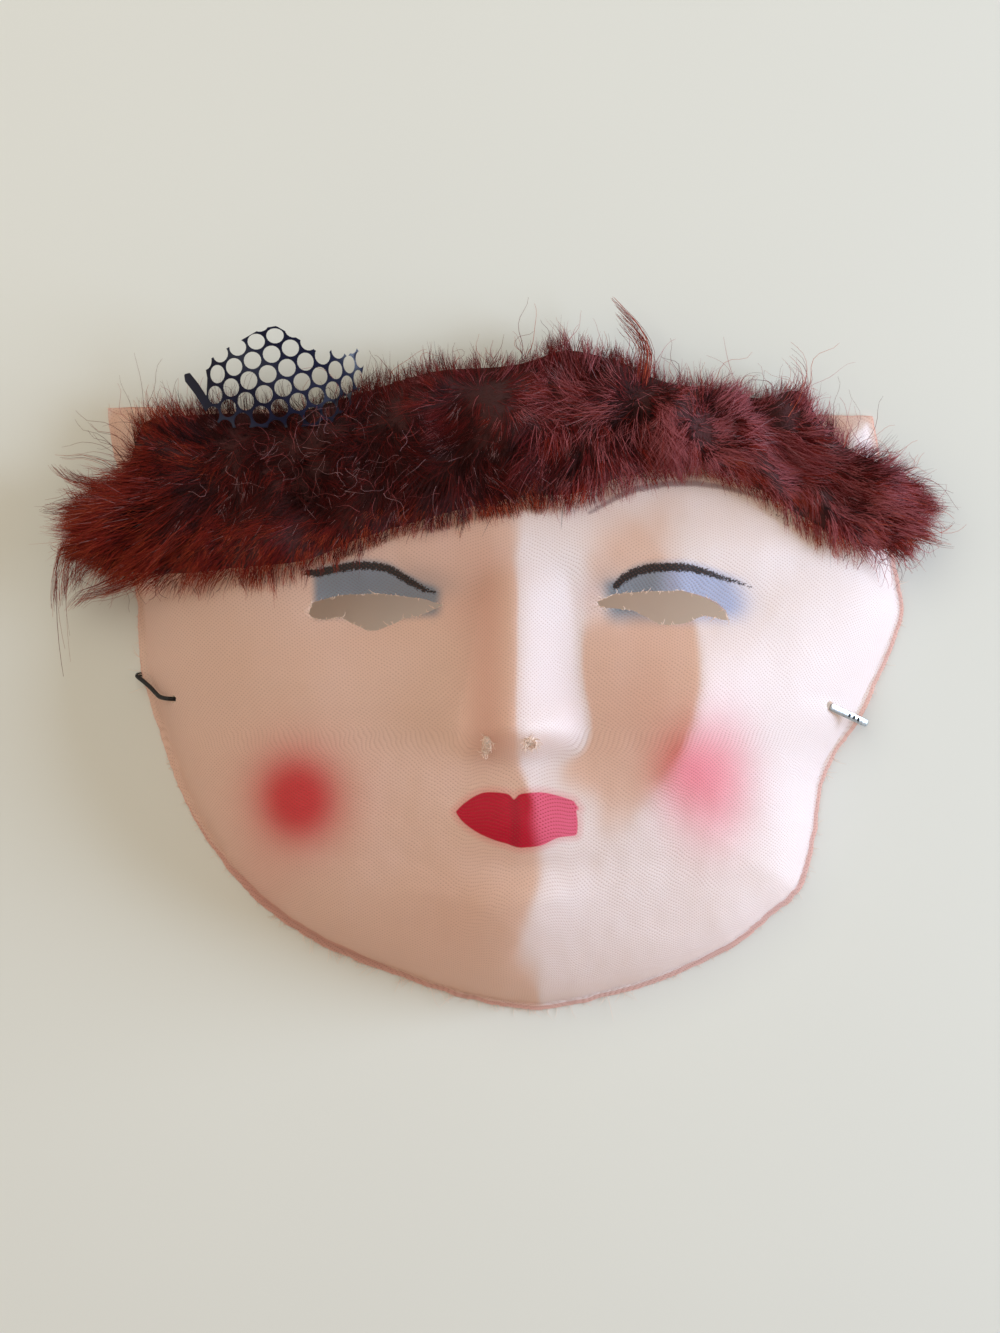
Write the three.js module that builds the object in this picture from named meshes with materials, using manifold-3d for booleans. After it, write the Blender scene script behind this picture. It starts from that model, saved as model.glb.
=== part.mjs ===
// Moulded gauze face mask: a starched cloth shell with a fur fringe, a scrap of punched net,
// and a round elastic with a metal tag at each end. It lies face up on its rim.
// Millimetres. +Z is up, +Y runs to the forehead, +X to the right as seen from above.

import * as THREE from 'three';
import { mergeVertices } from 'three/addons/utils/BufferGeometryUtils.js';
import Module from 'manifold-3d';

const wasm = await Module();
wasm.setup();

// Driving sizes of the shell
const CLOTH = 0.7; // thickness of the starched gauze
const FLANGE = 1.5; // flat margin round the rim
const MARGIN_FLAT = 0.1; // an underside lower than this lies on the table
const WALL_RISE = 13; // height of the wall inside the flange
const TAB_RISE = 4; // the same at the forehead's top corners
const DOME_RISE = 17.5;
const RIM_STEPS = 60; // rim vertices round the sides and chin
const TOP_STEPS = 16; // rim vertices along the straight forehead edge
const ROW_INSETS = [0, 1.5, 2.4, 3.8, 6, 9.5, 14.5];
const ROW_PITCH = 5.4; // mesh pitch over the face
const FACE_CENTRE = new THREE.Vector2(6, -9);
const GAP = 0.3; // clearance between touching pieces

// Left forehead corner, down the left side, round the chin, up to the right forehead corner
const RIM_CURVE = [
  [-90.2, 61.5], [-88.7, 50.4], [-85.1, 38], [-83.7, 19.6], [-82.1, 1.2], [-77, -17.2],
  [-72.5, -28.7], [-66.7, -39.1], [-56.1, -51.9], [-40.5, -62.5], [-23.2, -69.2], [-8.7, -74.2],
  [9.2, -77], [26.9, -73.3], [38, -69.9], [53.4, -62.7], [62.1, -55.8], [68.8, -50.1],
  [71.1, -43.9], [73.1, -34.7], [74.1, -25.3], [76.8, -18.8], [81.2, -11.9], [84.5, -6],
  [89, 3.3], [92.3, 12], [92.7, 17], [90.2, 29], [88.5, 40], [87.2, 50.6], [85.8, 59.6],
];

// Elastic: where it goes through the gauze, and where it passes over the rim
const LEFT_HOLE = new THREE.Vector2(-73.5, -5.3);
const RIGHT_HOLE = new THREE.Vector2(73.4, -6.6);
const ARCH = { rise: 3, halfWidth: 7, leftY: 0, rightY: -10 };

const smooth = THREE.MathUtils.smoothstep;
const bell = (u, width) => Math.exp(-((u / width) ** 2));

// The rim as a closed run of points, anticlockwise from above
function rimRow() {
  const sides = new THREE.SplineCurve(RIM_CURVE.map(([x, y]) => new THREE.Vector2(x, y)));
  const row = sides.getPoints(RIM_STEPS);
  const from = row[row.length - 1];
  const to = row[0];
  for (let i = 1; i < TOP_STEPS; i++) row.push(from.clone().lerp(to, i / TOP_STEPS));
  return row;
}

const RIM = rimRow();

// Distance from a point to the rim line
function rimDistance(x, y) {
  let best = Infinity;
  RIM.forEach((a, i) => {
    const b = RIM[(i + 1) % RIM.length];
    const dx = b.x - a.x;
    const dy = b.y - a.y;
    const along = ((x - a.x) * dx + (y - a.y) * dy) / (dx * dx + dy * dy);
    const t = Math.min(1, Math.max(0, along));
    best = Math.min(best, Math.hypot(x - a.x - t * dx, y - a.y - t * dy));
  });
  return best;
}

// A straight run through [y, x] pairs, from the top of the list down
function through(pairs, y) {
  for (let i = 1; i < pairs.length; i++) {
    const [y0, x0] = pairs[i - 1];
    const [y1, x1] = pairs[i];
    if (y >= y1 || i === pairs.length - 1) {
      const t = Math.min(1, Math.max(0, (y0 - y) / (y0 - y1)));
      return x0 + (x1 - x0) * t;
    }
  }
  return pairs[0][1];
}

// The crease down the middle, where the cloth was once folded in two
const CREASE_RISE = 7.5;
const CREASE = [[60, 4.5], [16, 3.5], [-10, 3.5], [-26, 8], [-45, 8], [-54, 2.5], [-80, 1]];

function crease(x, y) {
  const across = Math.hypot(x - through(CREASE, y), 2) - 2;
  return CREASE_RISE * Math.exp(-across / 28);
}

// Bridge, tip and wings of the nose
const NOSE = { top: 27, tip: -12, rise: 12.5, ridgeX: 3.5, underY: -19 };

function nose(x, y) {
  const down = Math.min(1, Math.max(0, (NOSE.top - y) / (NOSE.top - NOSE.tip)));
  const flank = x > NOSE.ridgeX ? 11 + 4.5 * down : 6 + 7 * down;
  const u = Math.min(1, Math.abs(x - NOSE.ridgeX) / flank);
  const ridge = NOSE.rise * (0.12 + 0.88 * down ** 1.25) * smooth(down, 0, 0.25);
  const wings = 1.8 * (bell(x - 12, 4.5) + 0.7 * bell(x + 5, 4)) * bell(y + 10, 5);
  return (ridge * (1 - u * u) ** 1.5 + wings) * smooth(y, NOSE.underY, NOSE.tip + 2);
}

// Cheekbones: a ridge on the right that falls steeply inwards, a soft swell on the left
// The right cheek has a sharp ridge, with a long slope on each side of it
const CHEEK = { rise: 10, innerRun: 25, outerRun: 32 };

function cheeks(x, y) {
  const fromRidge = x - (44.7 - 0.012 * (y - 1) ** 2);
  const off = Math.hypot(fromRidge, 1.5) - 1.5;
  const run = fromRidge < 0 ? CHEEK.innerRun : CHEEK.outerRun;
  const right = CHEEK.rise * Math.exp(-off / run) * bell(y + 6, 21) * smooth(x, 8, 26);
  const left = 3 * bell(x + 42, 22) * bell(y + 12, 22);
  return right + left;
}

function sockets(x, y) {
  const left = bell(x + 27, 18) * bell(y - 14, 9);
  const right = bell(x - 35, 16) * bell(y - 15, 9);
  const brows = bell(y - 27, 8) * (1.6 * bell(x + 28, 22) + 3.2 * bell(x - 42, 15));
  return brows - 3.6 * left - 3.6 * right;
}

function mouthAndChin(x, y) {
  const lips = 2 * bell(x - 4, 12) * bell(y + 31.5, 6);
  const dip = -1.3 * bell(x - 5, 12) * bell(y + 42, 4);
  const chin = 3.5 * bell(x - 3, 19) * bell(y + 51, 10);
  return lips + dip + chin;
}

// The broad form, which the fur also follows past the rim
const wallRise = (y) => WALL_RISE + (TAB_RISE - WALL_RISE) * smooth(y, 26, 52);

function dome(x, y) {
  const r2 = (x / 95) ** 2 + ((y + 10) / 80) ** 2;
  return DOME_RISE * Math.max(0, 1 - r2) ** 0.9;
}

// Height of the outer face above the table
function faceHeight(x, y) {
  const distance = rimDistance(x, y);
  const inset = Math.hypot(Math.max(0, distance - FLANGE), 0.5) - 0.5;
  const run = 2.8 + 3.2 * bell(y + 2, 28);
  const wall = wallRise(y) * (1 - Math.exp(-inset / run));
  const relief = crease(x, y) + nose(x, y) + cheeks(x, y) + sockets(x, y) + mouthAndChin(x, y);
  const archY = x < 0 ? ARCH.leftY : ARCH.rightY;
  const side = smooth(Math.abs(x), 50, 66);
  const arch = ARCH.rise * side * bell(y - archY, ARCH.halfWidth) * Math.exp(-distance / 9);
  return CLOTH + wall + arch + (dome(x, y) + relief) * (1 - Math.exp(-inset / 12));
}

// Outward normal of the face at a point
function faceNormal(x, y) {
  const step = 0.15;
  const dx = (faceHeight(x + step, y) - faceHeight(x - step, y)) / (2 * step);
  const dy = (faceHeight(x, y + step) - faceHeight(x, y - step)) / (2 * step);
  return new THREE.Vector3(-dx, -dy, 1).normalize();
}

// Rows of [x, y] points from the rim inwards, fewer in each as they shrink
function faceRows() {
  const rows = ROW_INSETS.map((inset) => RIM.map((p) => {
    const length = p.distanceTo(FACE_CENTRE);
    return p.clone().lerp(FACE_CENTRE, inset / length);
  }));
  const girth = RIM.reduce((sum, p, i) => sum + p.distanceTo(RIM[(i + 1) % RIM.length]), 0);
  for (let share = 0.745; share > 0.03; share -= 0.068) {
    const count = Math.max(6, Math.round((girth * share) / ROW_PITCH));
    const row = [];
    for (let i = 0; i < count; i++) {
      const s = (i / count) * RIM.length;
      const from = RIM[Math.floor(s)];
      const to = RIM[(Math.floor(s) + 1) % RIM.length];
      row.push(FACE_CENTRE.clone().lerp(from.clone().lerp(to, s % 1), share));
    }
    rows.push(row);
  }
  return rows;
}

// Triangles between two closed rows of vertex numbers that run the same way round
function stitch(outer, inner, faces) {
  let i = 0;
  let j = 0;
  while (i < outer.length || j < inner.length) {
    const a = outer[i % outer.length];
    const b = inner[j % inner.length];
    const outerNext = (i + 0.5) / outer.length <= (j + 0.5) / inner.length;
    if (j >= inner.length || (i < outer.length && outerNext)) {
      faces.push([a, outer[(i + 1) % outer.length], b]);
      i++;
    } else {
      faces.push([a, inner[(j + 1) % inner.length], b]);
      j++;
    }
  }
}

// A solid between two skins that share the face's rows: each skin gives a point's place
function skinSolid(upper, lower) {
  const rows = faceRows();
  const points = rows.flat();
  points.push(FACE_CENTRE.clone());
  const faces = [];
  let first = 0;
  const numbered = rows.map((row) => row.map(() => first++));
  for (let k = 1; k < numbered.length; k++) stitch(numbered[k - 1], numbered[k], faces);
  const last = numbered[numbered.length - 1];
  last.forEach((a, i) => faces.push([a, last[(i + 1) % last.length], first]));
  const count = points.length;
  const index = [];
  faces.forEach(([a, b, c]) => index.push(a, b, c, a + count, c + count, b + count));
  RIM.forEach((p, i) => {
    const j = (i + 1) % RIM.length;
    index.push(i, i + count, j, j, i + count, j + count);
  });
  const places = [...points.map(upper), ...points.map(lower)];
  return meshOf(places.flatMap((p) => [p.x, p.y, p.z]), index);
}

function meshOf(numbers, index) {
  const geometry = new THREE.BufferGeometry();
  geometry.setAttribute('position', new THREE.Float32BufferAttribute(numbers, 3));
  geometry.setIndex(index);
  return geometry;
}

// A geometry as a solid that can be joined and cut, and back again
function solid(geometry) {
  const bare = geometry.clone();
  bare.deleteAttribute('normal');
  bare.deleteAttribute('uv');
  const merged = mergeVertices(bare, 1e-4);
  const triVerts = new Uint32Array(merged.index.array);
  const vertProperties = merged.attributes.position.array;
  return new wasm.Manifold(new wasm.Mesh({ numProp: 3, vertProperties, triVerts }));
}

function geometryOf(body) {
  const mesh = body.getMesh();
  const geometry = new THREE.BufferGeometry();
  geometry.setAttribute('position', new THREE.BufferAttribute(mesh.vertProperties, 3));
  geometry.setIndex(new THREE.BufferAttribute(mesh.triVerts, 1));
  return geometry;
}

// A straight cutter through the face, from an outline
function cutter(outline) {
  const shape = new THREE.Shape(outline);
  const geometry = new THREE.ExtrudeGeometry(shape, { depth: 70, bevelEnabled: false, steps: 1 });
  return solid(geometry.translate(0, 0, -5));
}

function ellipse(x, y, halfX, halfY, sides) {
  const curve = new THREE.EllipseCurve(x, y, halfX, halfY, 0, Math.PI * 2);
  return curve.getPoints(sides).slice(0, -1);
}

const pointsOf = (pairs) => pairs.map(([x, y]) => new THREE.Vector2(x, y));

// Eye holes: a clean arc above, and a lower edge cut in scallops
const LEFT_EYE = pointsOf([
  [-41.8, 13.6], [-40.9, 16], [-34.6, 17.6], [-26.5, 17.9], [-16.8, 16.7], [-12, 15.2],
  [-17.4, 12.9], [-20.7, 12.3], [-22.6, 11.4], [-26.5, 9.8], [-28.7, 9.7], [-32.2, 11.4],
  [-35, 12.8], [-38.3, 12.1], [-40.9, 12.6],
]);
const RIGHT_EYE = pointsOf([
  [20.9, 16], [24.4, 17.6], [31, 18.3], [39.4, 18.5], [44.8, 17], [47.2, 15.8], [49.1, 14],
  [49.6, 11.9], [48.1, 12.1], [44.5, 13], [42.4, 12.4], [40.5, 11.4], [36.8, 10.9],
  [34.4, 11], [31.3, 12.8], [28.7, 14.1], [25.2, 14.5], [21.5, 14.9],
]);
const LEFT_NOSTRIL = ellipse(-2.8, -14.6, 0.9, 2, 10);
const RIGHT_NOSTRIL = ellipse(6.4, -14.2, 1.3, 1.4, 10);
const ELASTIC_HOLE = 0.9; // radius

function gauzeShell() {
  const outer = (p) => new THREE.Vector3(p.x, p.y, faceHeight(p.x, p.y));
  const inner = (p) => {
    const place = outer(p).addScaledVector(faceNormal(p.x, p.y), -CLOTH);
    if (place.z < MARGIN_FLAT) place.z = 0;
    return place;
  };
  let body = solid(skinSolid(outer, inner));
  const holes = [LEFT_EYE, RIGHT_EYE, LEFT_NOSTRIL, RIGHT_NOSTRIL];
  holes.push(ellipse(LEFT_HOLE.x, LEFT_HOLE.y, ELASTIC_HOLE, ELASTIC_HOLE, 10));
  holes.push(ellipse(RIGHT_HOLE.x, RIGHT_HOLE.y, ELASTIC_HOLE, ELASTIC_HOLE, 10));
  holes.forEach((outline) => {
    body = body.subtract(cutter(outline));
  });
  return geometryOf(body);
}

// Fur fringe: a long pile strip glued across the forehead, its pile lying in lumpy tufts
const FUR = { ends: 97, sections: 60, topPoints: 9, underPoints: 4, edge: 2.2, under: 2.6 };
const FUR_LOWER = new THREE.SplineCurve(pointsOf([
  [-97, 28], [-87, 22], [-73, 19.5], [-59, 20.5], [-43, 22.5], [-31, 28], [-15, 32.5],
  [4.5, 36.5], [16, 37], [28, 42], [44, 45.5], [57, 40.5], [70, 31], [78, 28], [87, 28.5],
  [97, 37],
]));
const FUR_UPPER = new THREE.SplineCurve(pointsOf([
  [-97, 39], [-90, 51], [-81, 60], [-66, 62], [-45, 62.5], [-30, 67], [-15, 71], [4, 72.5],
  [15, 76], [26, 73], [38, 67.5], [50, 66], [59, 64.5], [68, 67], [74, 59], [87, 48], [97, 41],
]));
const FUR_DEPTH = [[97, 5], [80, 10], [60, 13], [0, 14], [-60, 12], [-82, 9], [-97, 5]];

// Height of the cloth under the fur, carried on smoothly past the rim
const underFur = (x, y) => wallRise(y) + dome(x, y) + 0.4 * crease(x, y);

function tufts(x, y) {
  const locks = Math.sin(x / 3.1 + 1.6 * Math.sin(y / 7)) * 0.9;
  const lumps = Math.sin(x / 9.5 + 0.6) * Math.sin(y / 6.5 + x / 23) * 1.3;
  const parting = -3.2 * bell(x - 62 - (52 - y) * 0.42, 3.2) * smooth(y, 30, 38);
  return locks + lumps + parting;
}

function alongX(curve, x) {
  let low = 0;
  let high = 1;
  for (let i = 0; i < 30; i++) {
    const middle = (low + high) / 2;
    if (curve.getPoint(middle).x < x) low = middle;
    else high = middle;
  }
  return curve.getPoint(low).y;
}

// One closed ring of the strip at x: over the top from the lower edge, and back underneath
function furSection(x) {
  const closing = 1 - 0.45 * smooth(Math.abs(x), 84, FUR.ends);
  const low = alongX(FUR_LOWER, x);
  const high = alongX(FUR_UPPER, x);
  const middle = (low + high) / 2;
  const half = ((high - low) / 2) * closing;
  const ring = [];
  for (let i = 0; i < FUR.topPoints; i++) {
    const t = -Math.cos((Math.PI * i) / (FUR.topPoints - 1));
    const y = middle + half * t;
    const swell = (1 - Math.abs(t) ** 2.6) ** 0.6;
    const depth = FUR.edge + (through(FUR_DEPTH, x) - FUR.edge) * swell;
    ring.push([x, y, underFur(x, y) + depth + tufts(x, y) * swell]);
  }
  for (let i = 0; i < FUR.underPoints; i++) {
    const t = 1 - (2 * i) / (FUR.underPoints - 1);
    const y = middle + half * t;
    ring.push([x, y, Math.max(FUR.under, underFur(x, y) - 3)]);
  }
  return ring;
}

function furStrip() {
  const rings = [];
  for (let i = 0; i <= FUR.sections; i++) {
    rings.push(furSection(-FUR.ends + (2 * FUR.ends * i) / FUR.sections));
  }
  const size = rings[0].length;
  const index = [];
  for (let k = 0; k < FUR.sections; k++) {
    for (let i = 0; i < size; i++) {
      const j = (i + 1) % size;
      const a = k * size;
      const b = a + size;
      index.push(a + i, b + i, a + j, a + j, b + i, b + j);
    }
  }
  const end = FUR.sections * size;
  for (let i = 1; i < size - 1; i++) {
    index.push(0, i, i + 1, end, end + i + 1, end + i);
  }
  const strip = solid(meshOf(rings.flat(2), index));
  const raised = (p) => new THREE.Vector3(p.x, p.y, faceHeight(p.x, p.y))
    .addScaledVector(faceNormal(p.x, p.y), GAP);
  const below = (p) => new THREE.Vector3(p.x, p.y, -5);
  return geometryOf(strip.subtract(solid(skinSolid(raised, below))));
}

// Net scrap: stiff plastic sheet punched with round holes in a square pattern, torn to shape
const NET = { thickness: 0.45, pitch: 4.6, radius: 2, turn: 0.62, originX: -51.6, originY: 67 };
const NET_OUTLINE = pointsOf([
  [-62, 55.5], [-66.2, 59.5], [-69.8, 65.2], [-70.4, 67.2], [-69.2, 67.6], [-66.6, 63.4],
  [-65.6, 70.3], [-62.6, 71.6], [-58.1, 74], [-52.8, 76.7], [-49.4, 77.2], [-43.7, 74],
  [-38.9, 70.8], [-36.5, 73.8], [-34.1, 71.2], [-32.3, 73.6], [-30.5, 71], [-32, 62],
  [-38, 55.5],
]);

function furTop(x, y) {
  const low = alongX(FUR_LOWER, x);
  const high = alongX(FUR_UPPER, x);
  const t = (2 * y - low - high) / (high - low);
  if (Math.abs(t) >= 1) return 0;
  const swell = (1 - Math.abs(t) ** 2.6) ** 0.6;
  const depth = FUR.edge + (through(FUR_DEPTH, x) - FUR.edge) * swell;
  return underFur(x, y) + depth + tufts(x, y) * swell;
}

// The scrap leans out of the fur past the forehead edge, bowed across its width
function netHeight(x, y) {
  const lean = 13 + 0.32 * (y - 60);
  const bow = 2.6 * Math.cos((x + 50) / 9.5) + 0.8 * Math.sin(y / 2.6 + x / 5);
  return Math.max(lean + bow, furTop(x, y) + 0.7);
}

function netScrap() {
  const plate = { depth: NET.thickness, bevelEnabled: false, steps: 1 };
  let body = solid(new THREE.ExtrudeGeometry(new THREE.Shape(NET_OUTLINE), plate));
  const cos = Math.cos(NET.turn) * NET.pitch;
  const sin = Math.sin(NET.turn) * NET.pitch;
  for (let i = -5; i <= 5; i++) {
    for (let j = -5; j <= 5; j++) {
      const x = NET.originX + i * cos - j * sin;
      const y = NET.originY + i * sin + j * cos;
      body = body.subtract(cutter(ellipse(x, y, NET.radius, NET.radius, 10)));
    }
  }
  const geometry = geometryOf(body);
  const place = geometry.attributes.position;
  for (let i = 0; i < place.count; i++) {
    place.setZ(i, place.getZ(i) + netHeight(place.getX(i), place.getY(i)));
  }
  return geometry;
}

// Elastic: a round black cord. It starts on a tag inside the left hole, comes out over the rim,
// lies loose under the mask and comes up round the right edge to the other tag.
const ELASTIC = { radius: 0.5, sides: 8, steps: 80 };
const TABLE = 0.56; // height of its middle where it lies on the table
const ELASTIC_ROUTE = [
  [-71.6, -5.3, 6], [-72.1, -5.3, 7.8], [-73.4, -5.3, 9.9], [-75, -5.2, 10.7],
  [-76.6, -4.9, 9.6], [-78.1, -4, 7.1], [-79.5, -2.8, 5.4], [-81.5, -1.2, 4.4],
  [-82.9, -0.2, 3.1], [-82.7, 0.2, 1.5], [-81.2, 0.1, 0.7], [-76, -2.2, TABLE],
  [-66, -10, TABLE], [-60, -22, TABLE], [-57, -36, TABLE], [-46, -47, TABLE],
  [-30, -54, TABLE], [-12, -57, TABLE], [6, -56, TABLE], [24, -52, TABLE],
  [40, -45, TABLE], [52, -34, TABLE], [60, -22, TABLE], [68.5, -13.5, TABLE],
  [78, -9.9, TABLE], [81.6, -10.2, 0.8], [83.2, -10.8, 2], [83.5, -10.9, 3.9],
  [82.9, -10.6, 6.4], [82.3, -10.3, 8.5],
];

// The steps follow the route's points, so that they are closer together in the bends
class Route extends THREE.CatmullRomCurve3 {
  getPointAt(u, target) {
    return this.getPoint(u, target);
  }

  getTangentAt(u, target) {
    return this.getTangent(u, target);
  }
}

function elasticCord() {
  const route = new Route(ELASTIC_ROUTE.map((p) => new THREE.Vector3(...p)));
  const section = new THREE.Shape(ellipse(0, 0, ELASTIC.radius, ELASTIC.radius, ELASTIC.sides));
  const sweep = { extrudePath: route, steps: ELASTIC.steps, bevelEnabled: false };
  return new THREE.ExtrudeGeometry(section, sweep);
}

// Metal tag pressed on each end of the elastic: a flat bar with round ends and three dimples
const TAG = { length: 12.6, width: 1.7, thickness: 0.8, dimple: 0.32, pitch: 1.6, offset: 1.4 };
const LEFT_TAG = { from: [-69.4, -11.2, 5.2], to: [-73.8, 0.6, 5.2] };
const RIGHT_TAG = { from: [73.2, -6.8, 17.1], to: [83, -11, 9.4] };

function metalTag() {
  const end = TAG.length / 2 - TAG.width / 2;
  const shape = new THREE.Shape();
  shape.absarc(end, 0, TAG.width / 2, -Math.PI / 2, Math.PI / 2);
  shape.absarc(-end, 0, TAG.width / 2, Math.PI / 2, Math.PI * 1.5);
  for (let i = -1; i <= 1; i++) {
    const hole = ellipse(TAG.offset + i * TAG.pitch, 0, TAG.dimple, TAG.dimple, 6);
    shape.holes.push(new THREE.Path(hole));
  }
  const plate = { depth: TAG.thickness, bevelEnabled: false, curveSegments: 4, steps: 1 };
  return new THREE.ExtrudeGeometry(shape, plate).translate(0, 0, -TAG.thickness / 2);
}

function piece(name, geometry, colour, roughness, metalness) {
  geometry.computeVertexNormals();
  const material = new THREE.MeshStandardMaterial({ color: colour, roughness, metalness });
  const mesh = new THREE.Mesh(geometry, material);
  mesh.name = name;
  return mesh;
}

// Lays a tag along the line between two points, its flat side up
function placedTag(name, { from, to }) {
  const tag = piece(name, metalTag(), 0xc4c8c9, 0.35, 1);
  const start = new THREE.Vector3(...from);
  const end = new THREE.Vector3(...to);
  const along = end.clone().sub(start).normalize();
  const across = new THREE.Vector3(0, 0, 1).cross(along).normalize();
  const up = along.clone().cross(across);
  tag.setRotationFromMatrix(new THREE.Matrix4().makeBasis(along, across, up));
  tag.position.copy(start.add(end).multiplyScalar(0.5));
  return tag;
}

const mask = new THREE.Group();
mask.add(piece('gauze_shell', gauzeShell(), 0xe6cdc0, 0.75, 0));
mask.add(piece('fur_strip', furStrip(), 0x3a1012, 0.9, 0));
mask.add(piece('net_scrap', netScrap(), 0x10163a, 0.3, 0));
mask.add(piece('elastic_cord', elasticCord(), 0x0c0b0c, 0.7, 0));
mask.add(placedTag('tag_left', LEFT_TAG));
mask.add(placedTag('tag_right', RIGHT_TAG));

export default mask;
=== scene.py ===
# A moulded gauze costume mask with a fur fringe, lying face up on a pale table and seen from
# straight above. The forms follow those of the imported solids. Lengths are in millimetres, in the
# solids' frame, and MM turns them into the scene's metres.

import math

import bmesh
import bpy
import numpy as np
from mathutils import Matrix, Vector
from mathutils.geometry import delaunay_2d_cdt


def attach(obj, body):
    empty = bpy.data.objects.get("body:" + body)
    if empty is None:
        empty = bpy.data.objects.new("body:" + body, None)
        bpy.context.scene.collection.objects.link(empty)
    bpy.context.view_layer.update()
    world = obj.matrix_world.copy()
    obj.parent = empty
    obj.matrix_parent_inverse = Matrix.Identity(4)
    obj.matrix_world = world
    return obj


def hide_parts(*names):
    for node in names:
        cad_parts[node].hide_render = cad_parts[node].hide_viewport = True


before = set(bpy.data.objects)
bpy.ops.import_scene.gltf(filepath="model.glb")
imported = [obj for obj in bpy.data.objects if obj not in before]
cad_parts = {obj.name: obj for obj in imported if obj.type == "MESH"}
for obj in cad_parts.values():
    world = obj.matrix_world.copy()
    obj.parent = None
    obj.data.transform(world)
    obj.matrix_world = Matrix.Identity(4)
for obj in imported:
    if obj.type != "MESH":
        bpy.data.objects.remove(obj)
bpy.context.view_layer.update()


# Camera, light and table
# The mask lies on a pale painted board in a room with a window on the right. The camera hangs
# over its middle and looks straight down.
CAMERA_HEIGHT = 0.5
CAMERA_Y = 0.002
FRAME_HEIGHT = 0.3066  # metres of table from the top of the frame to its foot
SENSOR = 36.0

camera_data = bpy.data.cameras.new("camera")
camera_data.sensor_width = SENSOR
camera_data.lens = SENSOR * CAMERA_HEIGHT / FRAME_HEIGHT
camera_data.clip_start = 0.01
camera = bpy.data.objects.new("camera", camera_data)
camera.location = (0.0, CAMERA_Y, CAMERA_HEIGHT)
bpy.context.scene.collection.objects.link(camera)
bpy.context.scene.camera = camera


def area_light(name, place, aim, size, watts, colour):
    """A soft square light at place that faces aim."""
    lamp = bpy.data.lights.new(name, "AREA")
    lamp.size = size
    lamp.energy = watts
    lamp.color = colour
    holder = bpy.data.objects.new(name, lamp)
    holder.location = place
    holder.rotation_euler = (Vector(aim) - Vector(place)).to_track_quat("-Z", "Y").to_euler()
    bpy.context.scene.collection.objects.link(holder)


area_light("window", place=(1.18, 0.0, 0.37), aim=(0.02, 0.0, 0.02), size=0.7, watts=22.8,
           colour=(0.82, 1.0, 1.24))
area_light("pale_wall", place=(-1.0, 0.0, 0.4), aim=(0.0, 0.0, 0.02), size=0.8, watts=1.35,
           colour=(1.0, 0.94, 0.84))
area_light("room", place=(-0.22, 0.28, 0.74), aim=(0.0, 0.0, 0.02), size=0.7, watts=2.6,
           colour=(0.96, 1.0, 0.9))

ROOM_TINT, ROOM_STRENGTH = (1.0, 0.79, 0.6, 1.0), 0.445
world = bpy.data.worlds.new("room_light")
bpy.context.scene.world = world
world.use_nodes = True
background = world.node_tree.nodes["Background"]
background.inputs["Color"].default_value = ROOM_TINT
background.inputs["Strength"].default_value = ROOM_STRENGTH
bpy.context.scene.view_settings.view_transform = "Standard"


def srgb(red, green, blue):
    """A colour from its 0 to 255 screen values, as the linear one that shaders take."""
    parts = np.array([red, green, blue]) / 255
    linear = np.where(parts <= 0.04045, parts / 12.92, ((parts + 0.055) / 1.055) ** 2.4)
    return (*linear.tolist(), 1.0)


def add_node(tree, kind, inputs=(), **settings):
    """A shader node with its settings made, and its inputs set to values or joined to sockets."""
    node = tree.nodes.new("ShaderNode" + kind)
    for name, value in settings.items():
        setattr(node, name, value)
    for key, value in dict(inputs).items():
        if isinstance(value, bpy.types.NodeSocket):
            tree.links.new(value, node.inputs[key])
        else:
            node.inputs[key].default_value = value
    return node


def mix_colour(tree, factor, first, second):
    """first where factor is 0, and second where it is 1."""
    node = add_node(tree, "Mix", {0: factor, 6: first, 7: second}, data_type="RGBA")
    return node.outputs[2]


def noise(tree, coordinates, scale, detail=2.0, roughness=0.5):
    """Noise of a scale in marks per unit of its coordinates, from 0 to 1."""
    sockets = {"Vector": coordinates, "Scale": scale, "Detail": detail, "Roughness": roughness}
    return add_node(tree, "TexNoise", sockets).outputs["Fac"]


def node_material(name):
    """A material with a bare Principled node: the material, its tree and that node."""
    made = bpy.data.materials.new(name)
    made.use_nodes = True
    tree = made.node_tree
    tree.nodes.clear()
    output = tree.nodes.new("ShaderNodeOutputMaterial")
    shader = tree.nodes.new("ShaderNodeBsdfPrincipled")
    tree.links.new(shader.outputs["BSDF"], output.inputs["Surface"])
    return made, tree, shader


def object_place(tree):
    """Each point's place on its object, in metres."""
    return add_node(tree, "TexCoord").outputs["Object"]


def colour_between(tree, shader, factor, first, second):
    """Gives the shader a base colour that goes from first to second with factor."""
    tree.links.new(mix_colour(tree, factor, first, second), shader.inputs["Base Color"])


def mesh_object(name, verts, faces, materials):
    """An object from vertices in metres and faces that all have the same number of corners."""
    mesh = bpy.data.meshes.new(name)
    faces = np.asarray(faces, np.int32)
    mesh.vertices.add(len(verts))
    mesh.vertices.foreach_set("co", np.asarray(verts, np.float32).ravel())
    mesh.loops.add(faces.size)
    mesh.loops.foreach_set("vertex_index", faces.ravel())
    mesh.polygons.add(len(faces))
    mesh.polygons.foreach_set("loop_start", np.arange(len(faces), dtype=np.int32) * faces.shape[1])
    mesh.update(calc_edges=True)
    mesh.validate()
    mesh.shade_smooth()
    for material in materials:
        mesh.materials.append(material)
    made = bpy.data.objects.new(name, mesh)
    bpy.context.scene.collection.objects.link(made)
    return made


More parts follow.
